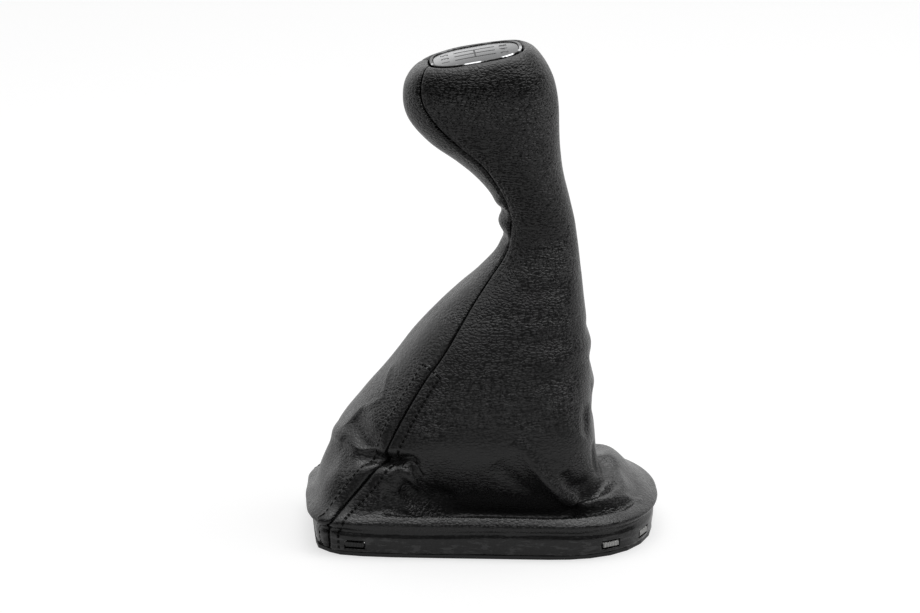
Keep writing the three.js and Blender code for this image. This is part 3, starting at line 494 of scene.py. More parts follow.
# The tape behind their lower part raises a band
BAND_HEIGHT = 0.5
BAND_FROM = 10
BAND_FULL = 15
on_tape = 1 - step_up(sew_along, TAPE_RUN - 0.2, TAPE_RUN + 1.0)
near_seam = 1 - step_up(sew_across, TAPE_HALF - 0.3, TAPE_HALF + 0.9)
band = near_seam * on_tape * step_up(sleeve[..., 2], BAND_FROM, BAND_FULL) * BAND_HEIGHT

# The leather creases where it turns over the top edge of the frame's wall
CREASE_HEIGHT = FRAME_HEIGHT + 0.3
CREASE_WIDTH = 0.9
CREASE_DEPTH = 0.7
CREASE_WANDER = 0.05  # frequency per millimetre of its wandering up and down
CREASE_CHANGE = 0.11  # and of its changing depth
CREASE_SEED = SEED + 5


def hem_crease():
    """The crease's depth at each point of the sleeve."""
    low_rows = int(np.searchsorted(rows, KNOTS[3]))
    crease = np.zeros(sleeve.shape[:2])
    for i in range(low_rows):
        for j in range(sleeve.shape[1]):
            x, y, z = sleeve[i, j]
            wander = noise.noise(Vector((x * CREASE_WANDER, y * CREASE_WANDER, SEED)))
            change = noise.noise(Vector((x * CREASE_CHANGE, y * CREASE_CHANGE, CREASE_SEED)))
            depth = CREASE_DEPTH * (0.75 + 0.6 * change)
            crease[i, j] = depth * math.exp(-(((z - CREASE_HEIGHT - wander) / CREASE_WIDTH) ** 2))
    return crease


sleeve = sleeve + grid_normals(sleeve) * (band - dip - hem_crease())[..., None]
normals = grid_normals(sleeve)


# Materials: colours, depths in metres and other values that the shaders are built from
STITCH_PITCH = 2.6
PEBBLES = 0.5  # pebbles of the grain in each millimetre along the leather
PEBBLES_FLAT = 1.65  # and so many times more of them up it
CREASES = 0.14  # cells of the coarse creases in each millimetre
GRAIN_DEPTH = 0.00032
GRAIN_SHINE = 0.4
GRAIN_TOP = (0.0085, 0.0085, 0.0087)
# painted shade: the darker colour of the grain's grooves
GRAIN_GROOVE_SHADE = (0.0028, 0.0028, 0.0028)
SCUFF = (0.05, 0.05, 0.051)
# painted light added to the sleeve's leather below the knob
SLEEVE_PAINTED_LIGHT = (0.010, 0.010, 0.0102)
# the thread's own black, also used as painted shade along the seams
THREAD_BLACK_AND_SEAM_SHADE = (0.0008, 0.0008, 0.0008)
MM_PER_M = 1000

# where the leather creases as the lever moves: the middle height and the reach up and down
CREASED = [(68, 22), (128, 14), (104, 8)]
CREASED_MORE = 0.4
# the grain's depth changes with height: smooth over the frame, deeper on the knob and calm on its top
GRAIN_BY_HEIGHT = [(11, 17, 0.3, 1.0), (110, 160, 0.47, 1.2), (198, 210, 1.0, 0.45)]
# the heights over which the sleeve's painted light fades out
SLEEVE_LIGHT_FADES_FROM = 118
SLEEVE_LIGHT_FADES_TO = 150
RUBBED_FROM = 7.5
RUBBED_TO = 11
NOTCHES_FROM = 145
NOTCHES_TO = 165


def material(name, color, roughness, metallic=0.0, specular=0.5):
    mat = bpy.data.materials.new(name)
    mat.use_nodes = True
    nodes = mat.node_tree.nodes
    links = mat.node_tree.links
    shader = nodes["Principled BSDF"]
    shader.inputs["Base Color"].default_value = (*color, 1)
    shader.inputs["Roughness"].default_value = roughness
    shader.inputs["Metallic"].default_value = metallic
    shader.inputs["Specular IOR Level"].default_value = specular
    return mat, nodes, links, shader


def add(nodes, kind, **values):
    """A new node, with its own settings or its inputs' values by name."""
    node = nodes.new(kind)
    for key, value in values.items():
        if hasattr(node, key):
            setattr(node, key, value)
        else:
            node.inputs[key.replace("_", " ")].default_value = value
    return node


def math_node(nodes, links, operation, a, b=None):
    """The result of a sum with numbers or other nodes' results."""
    node = nodes.new("ShaderNodeMath")
    node.operation = operation
    for slot, value in zip(node.inputs, (a, b)):
        if value is None:
            continue
        if isinstance(value, (int, float)):
            slot.default_value = value
        else:
            links.new(value, slot)
    return node.outputs[0]


def ramp(nodes, links, source, low, high, to_low, to_high):
    """A result that goes smoothly from one value to another, between two values of the source."""
    node = nodes.new("ShaderNodeMapRange")
    node.interpolation_type = "SMOOTHSTEP"
    node.inputs["From Min"].default_value = low
    node.inputs["From Max"].default_value = high
    node.inputs["To Min"].default_value = to_low
    node.inputs["To Max"].default_value = to_high
    links.new(source, node.inputs["Value"])
    return node.outputs[0]


def leather_material():
    mat, nodes, links, shader = material("leather", GRAIN_TOP, 0.45, specular=GRAIN_SHINE)

    def calc(operation, a, b=None):
        return math_node(nodes, links, operation, a, b)

    def smooth(source, low, high, to_low=0.0, to_high=1.0):
        return ramp(nodes, links, source, low, high, to_low, to_high)

    def mixed(share, color, other, blend="MIX"):
        mix = nodes.new("ShaderNodeMixRGB")
        mix.blend_type = blend
        for slot, value in zip(mix.inputs, (share, color, other)):
            if isinstance(value, float):
                slot.default_value = value
            elif isinstance(value, tuple):
                slot.default_value = (*value, 1)
            else:
                links.new(value, slot)
        return mix.outputs[0]

    coords = nodes.new("ShaderNodeTexCoord")

    def scaled(x, y, z):
        mapping = nodes.new("ShaderNodeMapping")
        mapping.inputs["Scale"].default_value = (x, y, z)
        links.new(coords.outputs["Object"], mapping.inputs["Vector"])
        return mapping.outputs[0]

    flat = scaled(MM_PER_M, MM_PER_M, MM_PER_M * PEBBLES_FLAT)
    plain = scaled(MM_PER_M, MM_PER_M, MM_PER_M)
    warp = add(nodes, "ShaderNodeTexNoise", Scale=0.3, Detail=1.0)
    links.new(flat, warp.inputs["Vector"])
    bent = mixed(1.0, flat, warp.outputs["Color"], blend="LINEAR_LIGHT")

    def cells(feature, scale):
        node = add(nodes, "ShaderNodeTexVoronoi", feature=feature, Scale=scale)
        links.new(bent, node.inputs["Vector"])
        return node.outputs["Distance"]

    def clouds(scale, detail=3.0, vector=plain):
        node = add(nodes, "ShaderNodeTexNoise", Scale=scale, Detail=detail, Roughness=0.6)
        links.new(vector, node.inputs["Vector"])
        return node.outputs[0]

    pebble = cells("F1", PEBBLES)
    groove = cells("DISTANCE_TO_EDGE", PEBBLES)
    crease = cells("DISTANCE_TO_EDGE", CREASES)
    patch = clouds(0.05)

    split = nodes.new("ShaderNodeSeparateXYZ")
    links.new(plain, split.inputs[0])
    height_mm = split.outputs["Z"]

    creased = 0
    for middle, half in CREASED:
        away = calc("ABSOLUTE", calc("SUBTRACT", height_mm, middle))
        creased = calc("MAXIMUM", smooth(away, 0.0, half, 1.0, 0.0), creased)
    coarse = calc("ADD", smooth(patch, 0.40, 0.62, 0.8, 1.0), calc("MULTIPLY", creased, CREASED_MORE))
    for change in GRAIN_BY_HEIGHT:
        coarse = calc("MULTIPLY", coarse, smooth(height_mm, *change))

    # beside the seams the leather is pulled smoother over the tape
    sew = nodes.new("ShaderNodeUVMap")
    sew.uv_map = "sew"
    place = nodes.new("ShaderNodeSeparateXYZ")
    links.new(sew.outputs[0], place.inputs[0])
    across = place.outputs["X"]
    run = place.outputs["Y"]
    on_tape = smooth(run, TAPE_RUN + 0.2, TAPE_RUN + 0.5, 1.0, 0.0)
    taped = calc("MULTIPLY", smooth(across, TAPE_HALF, TAPE_HALF + 1.5, 0.35, 0.0), on_tape)
    coarse = calc("MULTIPLY", coarse, calc("SUBTRACT", 1.0, taped))

    height = calc("MULTIPLY", calc("MULTIPLY", pebble, pebble), -0.6)
    height = calc("ADD", height, smooth(groove, 0.0, 0.3, -0.6, 0.0))
    height = calc("ADD", height, calc("MULTIPLY", smooth(crease, 0.0, 0.12, -0.5, 0.0), creased))
    groove_shade = smooth(height, -0.8, -0.1)  # painted shade: dark in the grooves, where the grain shades itself, and paler on the pebbles
    height = calc("MULTIPLY", height, coarse)

    # the topstitching: rows beside the seam and a closing row across the tape's end
    def stitch_phase(position):
        phase = calc("FRACT", calc("DIVIDE", position, STITCH_PITCH))
        return calc("ABSOLUTE", calc("SUBTRACT", phase, 0.5))

    def row_of_stitches(distance_from_row, position, mask):
        row = smooth(calc("ABSOLUTE", distance_from_row), 0.35, 0.75, 1.0, 0.0)
        dash = smooth(stitch_phase(position), 0.26, 0.36, 1.0, 0.0)
        return calc("MULTIPLY", calc("MULTIPLY", row, dash), mask), calc("MULTIPLY", row, mask)

    sides, side_rows = row_of_stitches(calc("SUBTRACT", across, TAPE_HALF), run, on_tape)
    within = smooth(across, TAPE_HALF - 0.2, TAPE_HALF + 0.2, 1.0, 0.0)
    ends, end_rows = row_of_stitches(calc("SUBTRACT", run, TAPE_RUN), across, within)
    stitches = calc("MAXIMUM", sides, ends)
    channels = calc("MAXIMUM", side_rows, end_rows)
    height = calc("ADD", height, calc("MULTIPLY", channels, -0.3))
    height = calc("ADD", height, calc("MULTIPLY", stitches, -0.9))

    bump = nodes.new("ShaderNodeBump")
    bump.inputs["Strength"].default_value = 1.0
    bump.inputs["Distance"].default_value = GRAIN_DEPTH
    links.new(height, bump.inputs["Height"])
    links.new(bump.outputs[0], shader.inputs["Normal"])

    # painted shade: the grooves take the darker colour
    color = mixed(groove_shade, GRAIN_GROOVE_SHADE, GRAIN_TOP)
    # painted light: below the knob the leather is painted paler, standing in for light on the sleeve
    body = smooth(height_mm, SLEEVE_LIGHT_FADES_FROM, SLEEVE_LIGHT_FADES_TO, 1.0, 0.0)
    color = mixed(body, color, SLEEVE_PAINTED_LIGHT, blend="ADD")
    # rubbed paler and glossy where the hem was handled
    rub = smooth(clouds(0.16, 4.0, scaled(MM_PER_M, MM_PER_M, MM_PER_M * 3.5)), 0.5, 0.6)
    rub = calc("MULTIPLY", rub, smooth(height_mm, RUBBED_FROM, RUBBED_TO, 1.0, 0.0))
    color = mixed(rub, color, SCUFF)
    # painted shade: the knob's seam is darkened at each stitch, where it is pulled in
    notch_shade = smooth(stitch_phase(run), 0.15, 0.3, 1.0, 0.0)
    notch_shade = calc("MULTIPLY", notch_shade, smooth(across, 1.5, 2.0, 0.9, 0.0))
    notch_shade = calc("MULTIPLY", notch_shade, smooth(height_mm, NOTCHES_FROM, NOTCHES_TO))
    on_knob = smooth(height_mm, KNOB_FROM, KNOB_TO)
    # painted shade along the seam's edges, reaching wider on the knob
    seams = calc("MAXIMUM", notch_shade, smooth(across, 0.35, 0.9, 0.95, 0.0))
    seams = calc("MAXIMUM", seams, calc("MULTIPLY", smooth(across, 0.7, 1.1, 0.95, 0.0), on_knob))
    # the thread's own black on the stitches, and painted shade on the seams and notches
    color = mixed(calc("MAXIMUM", stitches, seams), color, THREAD_BLACK_AND_SEAM_SHADE)
    links.new(color, shader.inputs["Base Color"])
    rough = smooth(patch, 0.3, 0.7, 0.26, 0.21)
    rough = calc("SUBTRACT", rough, calc("MULTIPLY", rub, 0.22))
    rough = calc("MAXIMUM", rough, calc("MULTIPLY", stitches, 0.9))
    links.new(rough, shader.inputs["Roughness"])
    return mat


def plastic_material(name, color, roughness, grain=0.00005, specular=0.5):
    """Plastic or cloth with a fine even grain."""
    mat, nodes, links, shader = material(name, color, roughness, specular=specular)
    coords = nodes.new("ShaderNodeTexCoord")
    speckle = add(nodes, "ShaderNodeTexNoise", Scale=1800.0, Detail=3.0)
    links.new(coords.outputs["Object"], speckle.inputs["Vector"])
    bump = nodes.new("ShaderNodeBump")
    bump.inputs["Strength"].default_value = 0.35
    bump.inputs["Distance"].default_value = grain
    links.new(speckle.outputs[0], bump.inputs["Height"])
    links.new(bump.outputs[0], shader.inputs["Normal"])
    return mat


def patchy_chrome():
    """Chrome with a dark base colour, and bright patches mostly on the near side."""
    mat, nodes, links, shader = material("chrome_trim", (0.7, 0.71, 0.72), 0.12, metallic=1.0)
    coords = nodes.new("ShaderNodeTexCoord")
    patch_noise = add(nodes, "ShaderNodeTexNoise", Scale=150.0, Detail=2.0)
    links.new(coords.outputs["Object"], patch_noise.inputs["Vector"])
    mix = nodes.new("ShaderNodeMixRGB")
    mix.inputs[1].default_value = (0.02, 0.02, 0.02, 1)
    mix.inputs[2].default_value = (0.85, 0.86, 0.87, 1)
    place = nodes.new("ShaderNodeSeparateXYZ")
    links.new(coords.outputs["Object"], place.inputs[0])
    near = ramp(nodes, links, place.outputs["Y"], -0.008, 0.004, 1.0, 0.1)
    bright_patches = ramp(nodes, links, patch_noise.outputs[0], 0.52, 0.6, 0.0, 1.0)
    links.new(math_node(nodes, links, "MULTIPLY", bright_patches, near), mix.inputs[0])
    links.new(mix.outputs[0], shader.inputs["Base Color"])
    return mat


def plate_material():
    """Satin silver, painted darker towards the near side."""
    mat, nodes, links, shader = material("silver_plate", (0.3, 0.305, 0.31), 0.25, metallic=1.0)
    coords = nodes.new("ShaderNodeTexCoord")
    place = nodes.new("ShaderNodeSeparateXYZ")
    links.new(coords.outputs["Object"], place.inputs[0])
    mix = nodes.new("ShaderNodeMixRGB")
    mix.inputs[1].default_value = (0.11, 0.112, 0.115, 1)
    mix.inputs[2].default_value = (0.55, 0.555, 0.56, 1)
    back = math_node(nodes, links, "MULTIPLY", place.outputs["X"], 0.3)
    across = math_node(nodes, links, "SUBTRACT", place.outputs["Y"], back)
    links.new(ramp(nodes, links, across, -0.012, 0.018, 0.0, 1.0), mix.inputs[0])
    links.new(mix.outputs[0], shader.inputs["Base Color"])
    return mat


def clip_material(name, color):
    """Spring steel with ridges pressed across the strip."""
    mat, nodes, links, shader = material(name, color, 0.3, metallic=1.0)
    coords = nodes.new("ShaderNodeTexCoord")
    ridges = add(nodes, "ShaderNodeTexWave", Scale=260.0, Distortion=1.5)
    links.new(coords.outputs["Object"], ridges.inputs["Vector"])
    bump = nodes.new("ShaderNodeBump")
    bump.inputs["Strength"].default_value = 1.0
    bump.inputs["Distance"].default_value = 0.0004
    links.new(ridges.outputs["Fac"], bump.inputs["Height"])
    links.new(bump.outputs[0], shader.inputs["Normal"])
    return mat


LEATHER_MAT = leather_material()
FRAME_MAT = plastic_material("black_plastic", (0.01, 0.01, 0.011), 0.35)
CORE_MAT = plastic_material("core_plastic", (0.01, 0.01, 0.011), 0.6, specular=0.2)
TAPE_MAT = plastic_material("tape", (0.012, 0.012, 0.012), 0.85, 0.0002)
THREAD_MAT = plastic_material("thread", (0.002, 0.002, 0.002), 0.9, 0.0002, specular=0.08)
CHROME_MAT = patchy_chrome()
PLATE_MAT = plate_material()
STEEL_MAT = clip_material("spring_steel", (0.4, 0.4, 0.39))
# painted shade: the same steel painted dark, standing in for the shade in the front clips' recessed windows
SHADED_STEEL_MAT = clip_material("steel_painted_shade", (0.05, 0.05, 0.05))
MARK_MAT = plastic_material("mark", (0.02, 0.02, 0.022), 0.5)


# The leather panels
def mesh_object(name, points, faces, mat, smooth=True):
    mesh = bpy.data.meshes.new(name)
    mesh.from_pydata([tuple(p) for p in points], [], faces)
    mesh.update()
    if smooth:
        mesh.polygons.foreach_set("use_smooth", [True] * len(mesh.polygons))
    obj = bpy.data.objects.new(name, mesh)
    obj.data.materials.append(mat)
    bpy.context.collection.objects.link(obj)
    return obj


def every_second(count):
    """Every second number below count, and the last one."""
    return sorted({*range(0, count, 2), count - 1})


def panel(name, columns):
    """A closed leather sheet over some of the sleeve's columns: fine outside, and coarser inside."""
    outer = sleeve[:, columns].copy()
    outward = normals[:, columns]
    for edge, inner_column in ((0, 1), (-1, -2)):
        step = outer[:, inner_column] - outer[:, edge]
        height = outer[:, edge, 2]
        gap = SEAM_GAP + SEAM_OPENS * np.exp(-(((height - SEAM_OPENS_AT) / SEAM_OPENS_OVER) ** 2))
        gap += KNOB_GAP * step_up(height, KNOB_GAP_FROM, KNOB_GAP_TO)
        outer[:, edge] += step / np.linalg.norm(step, axis=-1, keepdims=True) * gap[:, None] / 2
    # the turned-in edges meet inside, where they are sewn
    inner = sleeve[:, columns] - outward * LEATHER
    r, c = outer.shape[:2]
    rs = every_second(r)
    cs = every_second(c)
    lining = inner[np.ix_(rs, cs)]
    points = np.concatenate([outer.reshape(-1, 3), lining.reshape(-1, 3)]) * MM
    base = r * c
    width = len(cs)
    i, j = np.meshgrid(np.arange(r - 1), np.arange(c - 1), indexing="ij")
    a = (i * c + j).ravel()
    faces = np.stack([a, a + 1, a + c + 1, a + c], axis=1).tolist()
    for p in range(len(rs) - 1):
        for q in range(width - 1):
            v = base + p * width + q
            faces.append([v, v + width, v + width + 1, v + 1])

    def edge_strip(outer_ids, inner_ids, steps, flip):
        for k in range(len(inner_ids) - 1):
            run = outer_ids[steps[k] : steps[k + 1] + 1]
            face = list(run) + [inner_ids[k + 1], inner_ids[k]]
            faces.append(face[::-1] if not flip else face)

    end = len(points)
    edge_strip(range(c), range(base, base + width), cs, False)
    edge_strip(range((r - 1) * c, r * c), range(end - width, end), cs, True)
    edge_strip(range(0, r * c, c), range(base, end, width), rs, True)
    edge_strip(range(c - 1, r * c, c), range(base + width - 1, end, width), rs, False)
    piece = mesh_object(name, points, faces, LEATHER_MAT)
    hidden = np.full((len(points) - base, 2), FAR_AWAY)
    shown = np.stack([sew_across[:, columns].ravel(), sew_along[:, columns].ravel()], axis=1)
    sew = np.concatenate([shown, hidden])
    loops = np.empty(len(piece.data.loops), int)
    piece.data.loops.foreach_get("vertex_index", loops)
    layer = piece.data.uv_layers.new(name="sew")
    layer.data.foreach_set("uv", sew[loops].ravel())
    return piece


CLIP_ANGLES = (149, 57, 33)  # degrees from the back end, on both sides
CLIP_MIDDLE = 5.4  # height of the middle of a clip
WINDOW_SIZE = (9.4, 12.0, 4.1)  # along the frame's edge, through the leather, and up
BOX_FACES = [(0, 2, 3, 1), (4, 5, 7, 6), (0, 1, 5, 4), (2, 6, 7, 3), (0, 4, 6, 2), (1, 3, 7, 5)]


def windows():
    """A box for each clip's window, set square to the frame's edge."""
    points, faces = [], []
    for degrees in (sign * angle for angle in CLIP_ANGLES for sign in (-1, 1)):
        turn = math.radians(degrees)
        x, y = frame_outline(np.array([turn, turn - 0.01, turn + 0.01]), 0)
        along_edge = np.array([x[1] - x[2], y[1] - y[2], 0])
        along_edge /= np.linalg.norm(along_edge)
        outwards = np.array([-along_edge[1], along_edge[0], 0])
        axes = np.array([along_edge, outwards, [0, 0, 1]]) * np.array(WINDOW_SIZE)[:, None] / 2
        first = len(points)
        for k in range(8):
            signs = np.array([1 if k & bit else -1 for bit in (1, 2, 4)])
            points.append((np.array([x[0], y[0], CLIP_MIDDLE]) + signs @ axes) * MM)
        for face in BOX_FACES:
            faces.append([first + corner for corner in face])
    return mesh_object("windows", points, faces, FRAME_MAT, smooth=False)


def cut_windows(piece):
    """Cuts the clips' windows out of a panel."""
    cutter = windows()
    cut = piece.modifiers.new("windows", "BOOLEAN")
    cut.operation = "DIFFERENCE"
    cut.solver = "MANIFOLD"
    cut.object = cutter
    whole = piece.data
    result = piece.evaluated_get(bpy.context.evaluated_depsgraph_get())
    piece.data = bpy.data.meshes.new_from_object(result)
    piece.modifiers.clear()
    name = whole.name
    bpy.data.meshes.remove(whole)
    piece.data.name = name
    bpy.data.objects.remove(cutter)


side_leather = panel("side_panel_leather", list(range(SIDE_COLUMNS + 1)))
total = sleeve.shape[1]
front_columns = [(SIDE_COLUMNS + k) % total for k in range(FRONT_COLUMNS + 1)]
front_leather = panel("front_panel_leather", front_columns)

for piece, node in ((side_leather, "side_panel"), (front_leather, "front_panel")):
    cut_windows(piece)
    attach(piece, "root")
    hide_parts(node)

# Topstitching
THREAD_LENGTH = 1.7
THREAD_RADIUS = 0.26
THREAD_SIDES = 6
# along a stitch: the share of its length, of its radius, and how far it lies above the leather
THREAD_PROFILE = [
    (-0.5, 0.35, -0.3),
    (-0.25, 1.0, -0.02),
    (0.0, 1.0, 0.04),
    (0.25, 1.0, -0.02),
    (0.5, 0.35, -0.3),
]
FIRST_STITCH = 2.5  # in stitches from the hem
CLOSING_STITCHES = (0.5, 1.5)  # in stitches from the seam
THREAD_AHEAD = 0.5  # how far on a stitch looks for its direction


def beside(column, offset):
    """A line beside a seam, row by row: its points, the leather's normals and the length along the seam."""
    n = sleeve.shape[1]
    step = 1 if offset > 0 else -1
    found = []
    for i in range(len(rows)):
        for k in range(SEW_COLUMNS):
            a = (column + step * k) % n
            b = (column + step * (k + 1)) % n
            if sew_across[i, b] >= abs(offset):
                share = (abs(offset) - sew_across[i, a]) / max(sew_across[i, b] - sew_across[i, a], 1e-6)
                grids = (sleeve, normals, sew_along)
                point, up, run = [grid[i, a] * (1 - share) + grid[i, b] * share for grid in grids]
                found.append([*point, *up, run])
                break
    found = np.array(sorted(found, key=lambda row: row[-1]))
    return found[:, :3], found[:, 3:6], found[:, 6]


def resample(line, up, run, stops):
    """The line's points and normals at some lengths along it."""
    return (
        np.stack([np.interp(stops, run, line[:, axis]) for axis in range(3)], axis=1),
        np.stack([np.interp(stops, run, up[:, axis]) for axis in range(3)], axis=1),
    )


def thread(points, faces, middle, direction, up):
    """Adds one stitch: a short thread that goes into the leather at both ends."""
    direction = direction / np.linalg.norm(direction)
    up = up - direction * (up @ direction)
    up = up / np.linalg.norm(up)
    side = np.cross(direction, up)
    start = len(points)
    for share, fat, lift in THREAD_PROFILE:
        for k in range(THREAD_SIDES):
            turn = 2 * math.pi * k / THREAD_SIDES
            ring_point = up * math.sin(turn) + side * math.cos(turn)
            centre = middle + direction * THREAD_LENGTH * share + up * lift
            points.append(centre + ring_point * THREAD_RADIUS * fat)
    for r in range(len(THREAD_PROFILE) - 1):
        for k in range(THREAD_SIDES):
            a = start + r * THREAD_SIDES + k
            b = start + r * THREAD_SIDES + (k + 1) % THREAD_SIDES
            faces.append([a, a + THREAD_SIDES, b + THREAD_SIDES, b])
    last = start + (len(THREAD_PROFILE) - 1) * THREAD_SIDES
    faces.append([start + k for k in range(THREAD_SIDES)])
    faces.append([last + k for k in range(THREAD_SIDES)][::-1])


def topstitching(name, column):
    """The threads on both sides of a seam, and those that close the rows above."""
    points, faces = [], []
    stops = np.arange(FIRST_STITCH * STITCH_PITCH, TAPE_RUN, STITCH_PITCH)
    for offset in (-TAPE_HALF, TAPE_HALF):
        line, up, run = beside(column, offset)
        middles, ups = resample(line, up, run, stops)
        ahead, _ = resample(line, up, run, stops + THREAD_AHEAD)
        for middle, up_here, onward in zip(middles, ups, ahead):
            thread(points, faces, middle, onward - middle, up_here)
    for k in CLOSING_STITCHES:
        for side in (-1, 1):
            middles, ups = resample(*beside(column, side * k * STITCH_PITCH), [TAPE_RUN])
            ahead, _ = resample(*beside(column, side * (k * STITCH_PITCH + THREAD_AHEAD)), [TAPE_RUN])
            thread(points, faces, middles[0], ahead[0] - middles[0], ups[0])
    piece = mesh_object(name, np.array(points) * MM, faces, THREAD_MAT)
    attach(piece, "root")
    return piece


topstitching("topstitching_near", 0)
topstitching("topstitching_far", SIDE_COLUMNS)

# Materials of the frame's own pieces
for node, mat in {
    "seam_tape_near": TAPE_MAT,
    "seam_tape_far": TAPE_MAT,
    "knob_core": CORE_MAT,
    "cap_tray": FRAME_MAT,
    "cap_bezel": CHROME_MAT,
    "cap_plate": PLATE_MAT,
    "stem_tube": FRAME_MAT,
    "stem_clamp": STEEL_MAT,
    "base_frame": FRAME_MAT,
    # painted shade on the front clips
    "spring_clip_front_near": SHADED_STEEL_MAT,
    "spring_clip_front_far": SHADED_STEEL_MAT,
    "spring_clip_back_near": STEEL_MAT,
    "spring_clip_back_far": STEEL_MAT,
    "spring_clip_end_near": STEEL_MAT,
    "spring_clip_end_far": STEEL_MAT,
}.items():
    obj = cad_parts[node]
    if not obj.material_slots:
        obj.data.materials.append(mat)
    for slot_index in range(len(obj.material_slots)):
        obj.material_slots[slot_index].material = mat

# The gear gate on the plate
MARK_PROUD = 0.08
MARK_WIDTH = 0.7
SLICES = 12
GATE_FRONT = -12.0
GATE_BACK = 6.0
GATE_LINES = (-6.0, 0.0, 6.0)
NUMBER_SIZE = 5.0
NUMBER_OFF = 4.0
ABOVE_PLATE = 1.0  # metres
# the numbers in front of each line and behind it, at the line's place across
NUMBERS = {("1", "2"): -6.0, ("3", "4"): 0.0, ("5", "R"): 6.0}


def upright_box(x0, x1, y0, y1):
    """A thin box cut into slices along its length, so that it can follow the plate."""
    points, faces = [], []
    for k in range(SLICES + 1):
        share = k / SLICES
        if x1 - x0 > y1 - y0:
            x = x0 + (x1 - x0) * share
            a, b = (x, y0), (x, y1)
        else:
            y = y0 + (y1 - y0) * share
            a, b = (x1, y), (x0, y)
        points += [(*a, -MARK_PROUD), (*b, -MARK_PROUD), (*b, MARK_PROUD), (*a, MARK_PROUD)]
    for k in range(SLICES):
        for side in range(4):
            a, b = 4 * k + side, 4 * k + (side + 1) % 4
            faces.append([a, b, b + 4, a + 4])
    faces += [[3, 2, 1, 0], [4 * SLICES + side for side in range(4)]]
    return points, faces


def number(text, x, y):
    """A plain number that reads from the driver's seat."""
    curve = bpy.data.curves.new("number", "FONT")
    curve.body = text
    curve.size = NUMBER_SIZE
    curve.align_x = curve.align_y = "CENTER"
    curve.extrude = MARK_PROUD
    curve.resolution_u = 4
    holder = bpy.data.objects.new("number", curve)
    mesh = holder.to_mesh()
    points = [(x - v.co.y, y + v.co.x, v.co.z) for v in mesh.vertices]
    faces = [list(p.vertices) for p in mesh.polygons]
    bpy.data.objects.remove(holder)
    bpy.data.curves.remove(curve)
    return points, faces


def gate_marks():
    """The gate's lines and numbers, laid on the plate's curved face."""
    half = MARK_WIDTH / 2
    parts = [upright_box(GATE_FRONT, GATE_BACK, y - half, y + half) for y in GATE_LINES]
    middle = (GATE_FRONT + GATE_BACK) / 2
    ends = (GATE_LINES[0] + MARK_WIDTH, GATE_LINES[-1] - MARK_WIDTH)
    parts.append(upright_box(middle - half, middle + half, *ends))
    for (front, back), y in NUMBERS.items():
        parts += [number(front, GATE_FRONT - NUMBER_OFF, y), number(back, GATE_BACK + NUMBER_OFF, y)]
    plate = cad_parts["cap_plate"]
    corners = [plate.matrix_world @ v.co for v in plate.data.vertices]
    surface = BVHTree.FromPolygons(corners, [list(p.vertices) for p in plate.data.polygons])
    points, faces = [], []
    for part, part_faces in parts:
        faces += [[len(points) + k for k in face] for face in part_faces]
        for x, y, lift in part:
            hit = surface.ray_cast(Vector((x * MM, y * MM, ABOVE_PLATE)), Vector((0, 0, -1)))[0]
            points.append((x * MM, y * MM, hit.z + lift * MM))
    piece = mesh_object("gate_marks", points, faces, MARK_MAT, smooth=False)
    shell = bmesh.new()
    shell.from_mesh(piece.data)
    bmesh.ops.remove_doubles(shell, verts=shell.verts, dist=1e-6)
    shell.to_mesh(piece.data)
    shell.free()
    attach(piece, "root")


gate_marks()

# Floor, world and lamps
FLOOR_SIZE = 12
FLOOR_SINK = 0.0002  # below the object's underside
FLOOR_COLOR = (0.5, 0.5, 0.5)
FLOOR_SEEN = 0.62  # the floor's own light, as the camera sees it
FLOOR_REFLECTED = 0.25  # and as glossy surfaces do


def floor_material():
    mat = bpy.data.materials.new("floor")
    mat.use_nodes = True
    nodes = mat.node_tree.nodes
    links = mat.node_tree.links
    nodes.clear()
    output = nodes.new("ShaderNodeOutputMaterial")
    diffuse = add(nodes, "ShaderNodeBsdfDiffuse")
    diffuse.inputs["Color"].default_value = (*FLOOR_COLOR, 1)
    glow = nodes.new("ShaderNodeEmission")
    glow.inputs["Color"].default_value = (1, 1, 1, 1)
    path = nodes.new("ShaderNodeLightPath")
    camera = math_node(nodes, links, "MULTIPLY", path.outputs["Is Camera Ray"], FLOOR_SEEN)
    glossy = math_node(nodes, links, "MULTIPLY", path.outputs["Is Glossy Ray"], FLOOR_REFLECTED)
    links.new(math_node(nodes, links, "ADD", camera, glossy), glow.inputs["Strength"])
    both = nodes.new("ShaderNodeAddShader")
    links.new(diffuse.outputs[0], both.inputs[0])
    links.new(glow.outputs[0], both.inputs[1])
    links.new(both.outputs[0], output.inputs["Surface"])
    return mat


bpy.ops.mesh.primitive_plane_add(size=FLOOR_SIZE, location=(0, 0, -FLOOR_SINK))
floor = bpy.context.object
floor.name = "floor"
floor.data.materials.append(floor_material())

world = bpy.data.worlds.new("world")
bpy.context.scene.world = world
world.use_nodes = True
wn = world.node_tree.nodes
wl = world.node_tree.links
background = wn["Background"]
background.inputs["Color"].default_value = (1, 1, 1, 1)
path = wn.new("ShaderNodeLightPath")
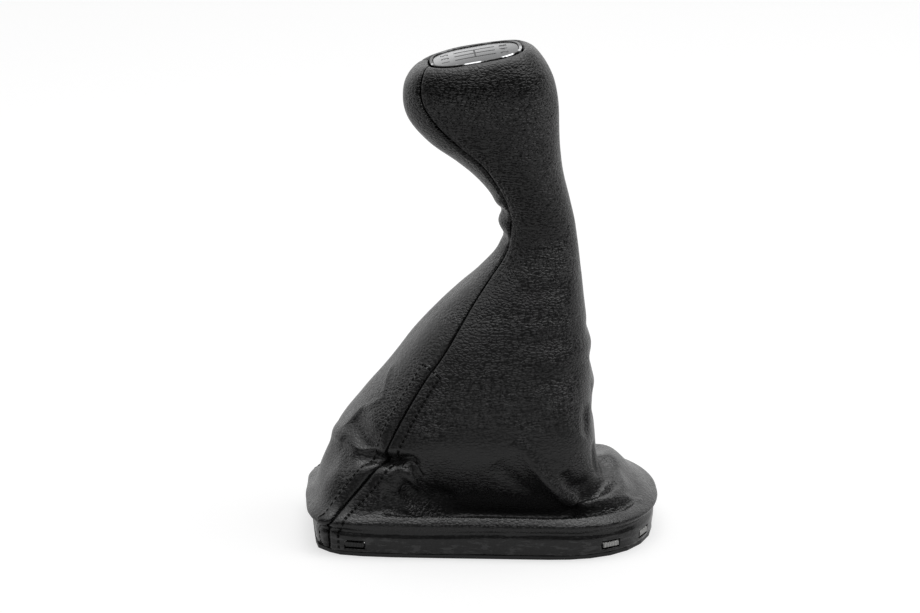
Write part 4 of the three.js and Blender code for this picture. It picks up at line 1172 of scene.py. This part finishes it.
# A white background for the camera. Glossy surfaces see it too, with a darker studio on the near side.
BACKGROUND = 1.0
STUDIO = 0.03
SKY = 1.6
FILL = 0.38
direction = wn.new("ShaderNodeSeparateXYZ")
wl.new(wn.new("ShaderNodeTexCoord").outputs["Generated"], direction.inputs[0])
behind = ramp(wn, wl, direction.outputs["Y"], 0.0, 0.6, STUDIO, BACKGROUND)
above = ramp(wn, wl, direction.outputs["Z"], 0.42, 0.95, 0.0, SKY)
reflected = math_node(wn, wl, "MAXIMUM", behind, above)


def chosen(ray, value, otherwise):
    """The value for one kind of ray, and otherwise another."""
    mix = wn.new("ShaderNodeMix")
    wl.new(path.outputs[ray], mix.inputs["Factor"])
    for socket, source in (("A", otherwise), ("B", value)):
        if isinstance(source, float):
            mix.inputs[socket].default_value = source
        else:
            wl.new(source, mix.inputs[socket])
    return mix.outputs["Result"]


strength = chosen("Is Glossy Ray", reflected, FILL)
strength = chosen("Is Transmission Ray", BACKGROUND, strength)
wl.new(chosen("Is Camera Ray", BACKGROUND, strength), background.inputs["Strength"])

LIT_HEIGHT = 0.1  # metres


def lamp(name, energy, size, location):
    """A round lamp that faces the object."""
    data = bpy.data.lights.new(name, "AREA")
    data.energy = energy
    data.shape = "DISK"
    data.size = size
    obj = bpy.data.objects.new(name, data)
    obj.location = location
    away = Vector(location) - Vector((0, 0, LIT_HEIGHT))
    obj.rotation_euler = away.to_track_quat("Z", "Y").to_euler()
    bpy.context.collection.objects.link(obj)


def at_angles(azimuth, elevation, distance):
    """A place by its angle from the photograph's side, its height angle and its distance."""
    a, e = math.radians(azimuth), math.radians(elevation)
    level = distance * math.cos(e)
    return (level * math.sin(a), -level * math.cos(a), LIT_HEIGHT + distance * math.sin(e))


lamp("top", 12, 1.6, at_angles(170, 78, 1.6))
lamp("left", 0.6, 1.0, at_angles(-95, 40, 1.4))
lamp("right", 4, 1.0, at_angles(80, 45, 1.4))

bpy.context.scene.view_settings.view_transform = "Standard"

low, high = cad_bounds
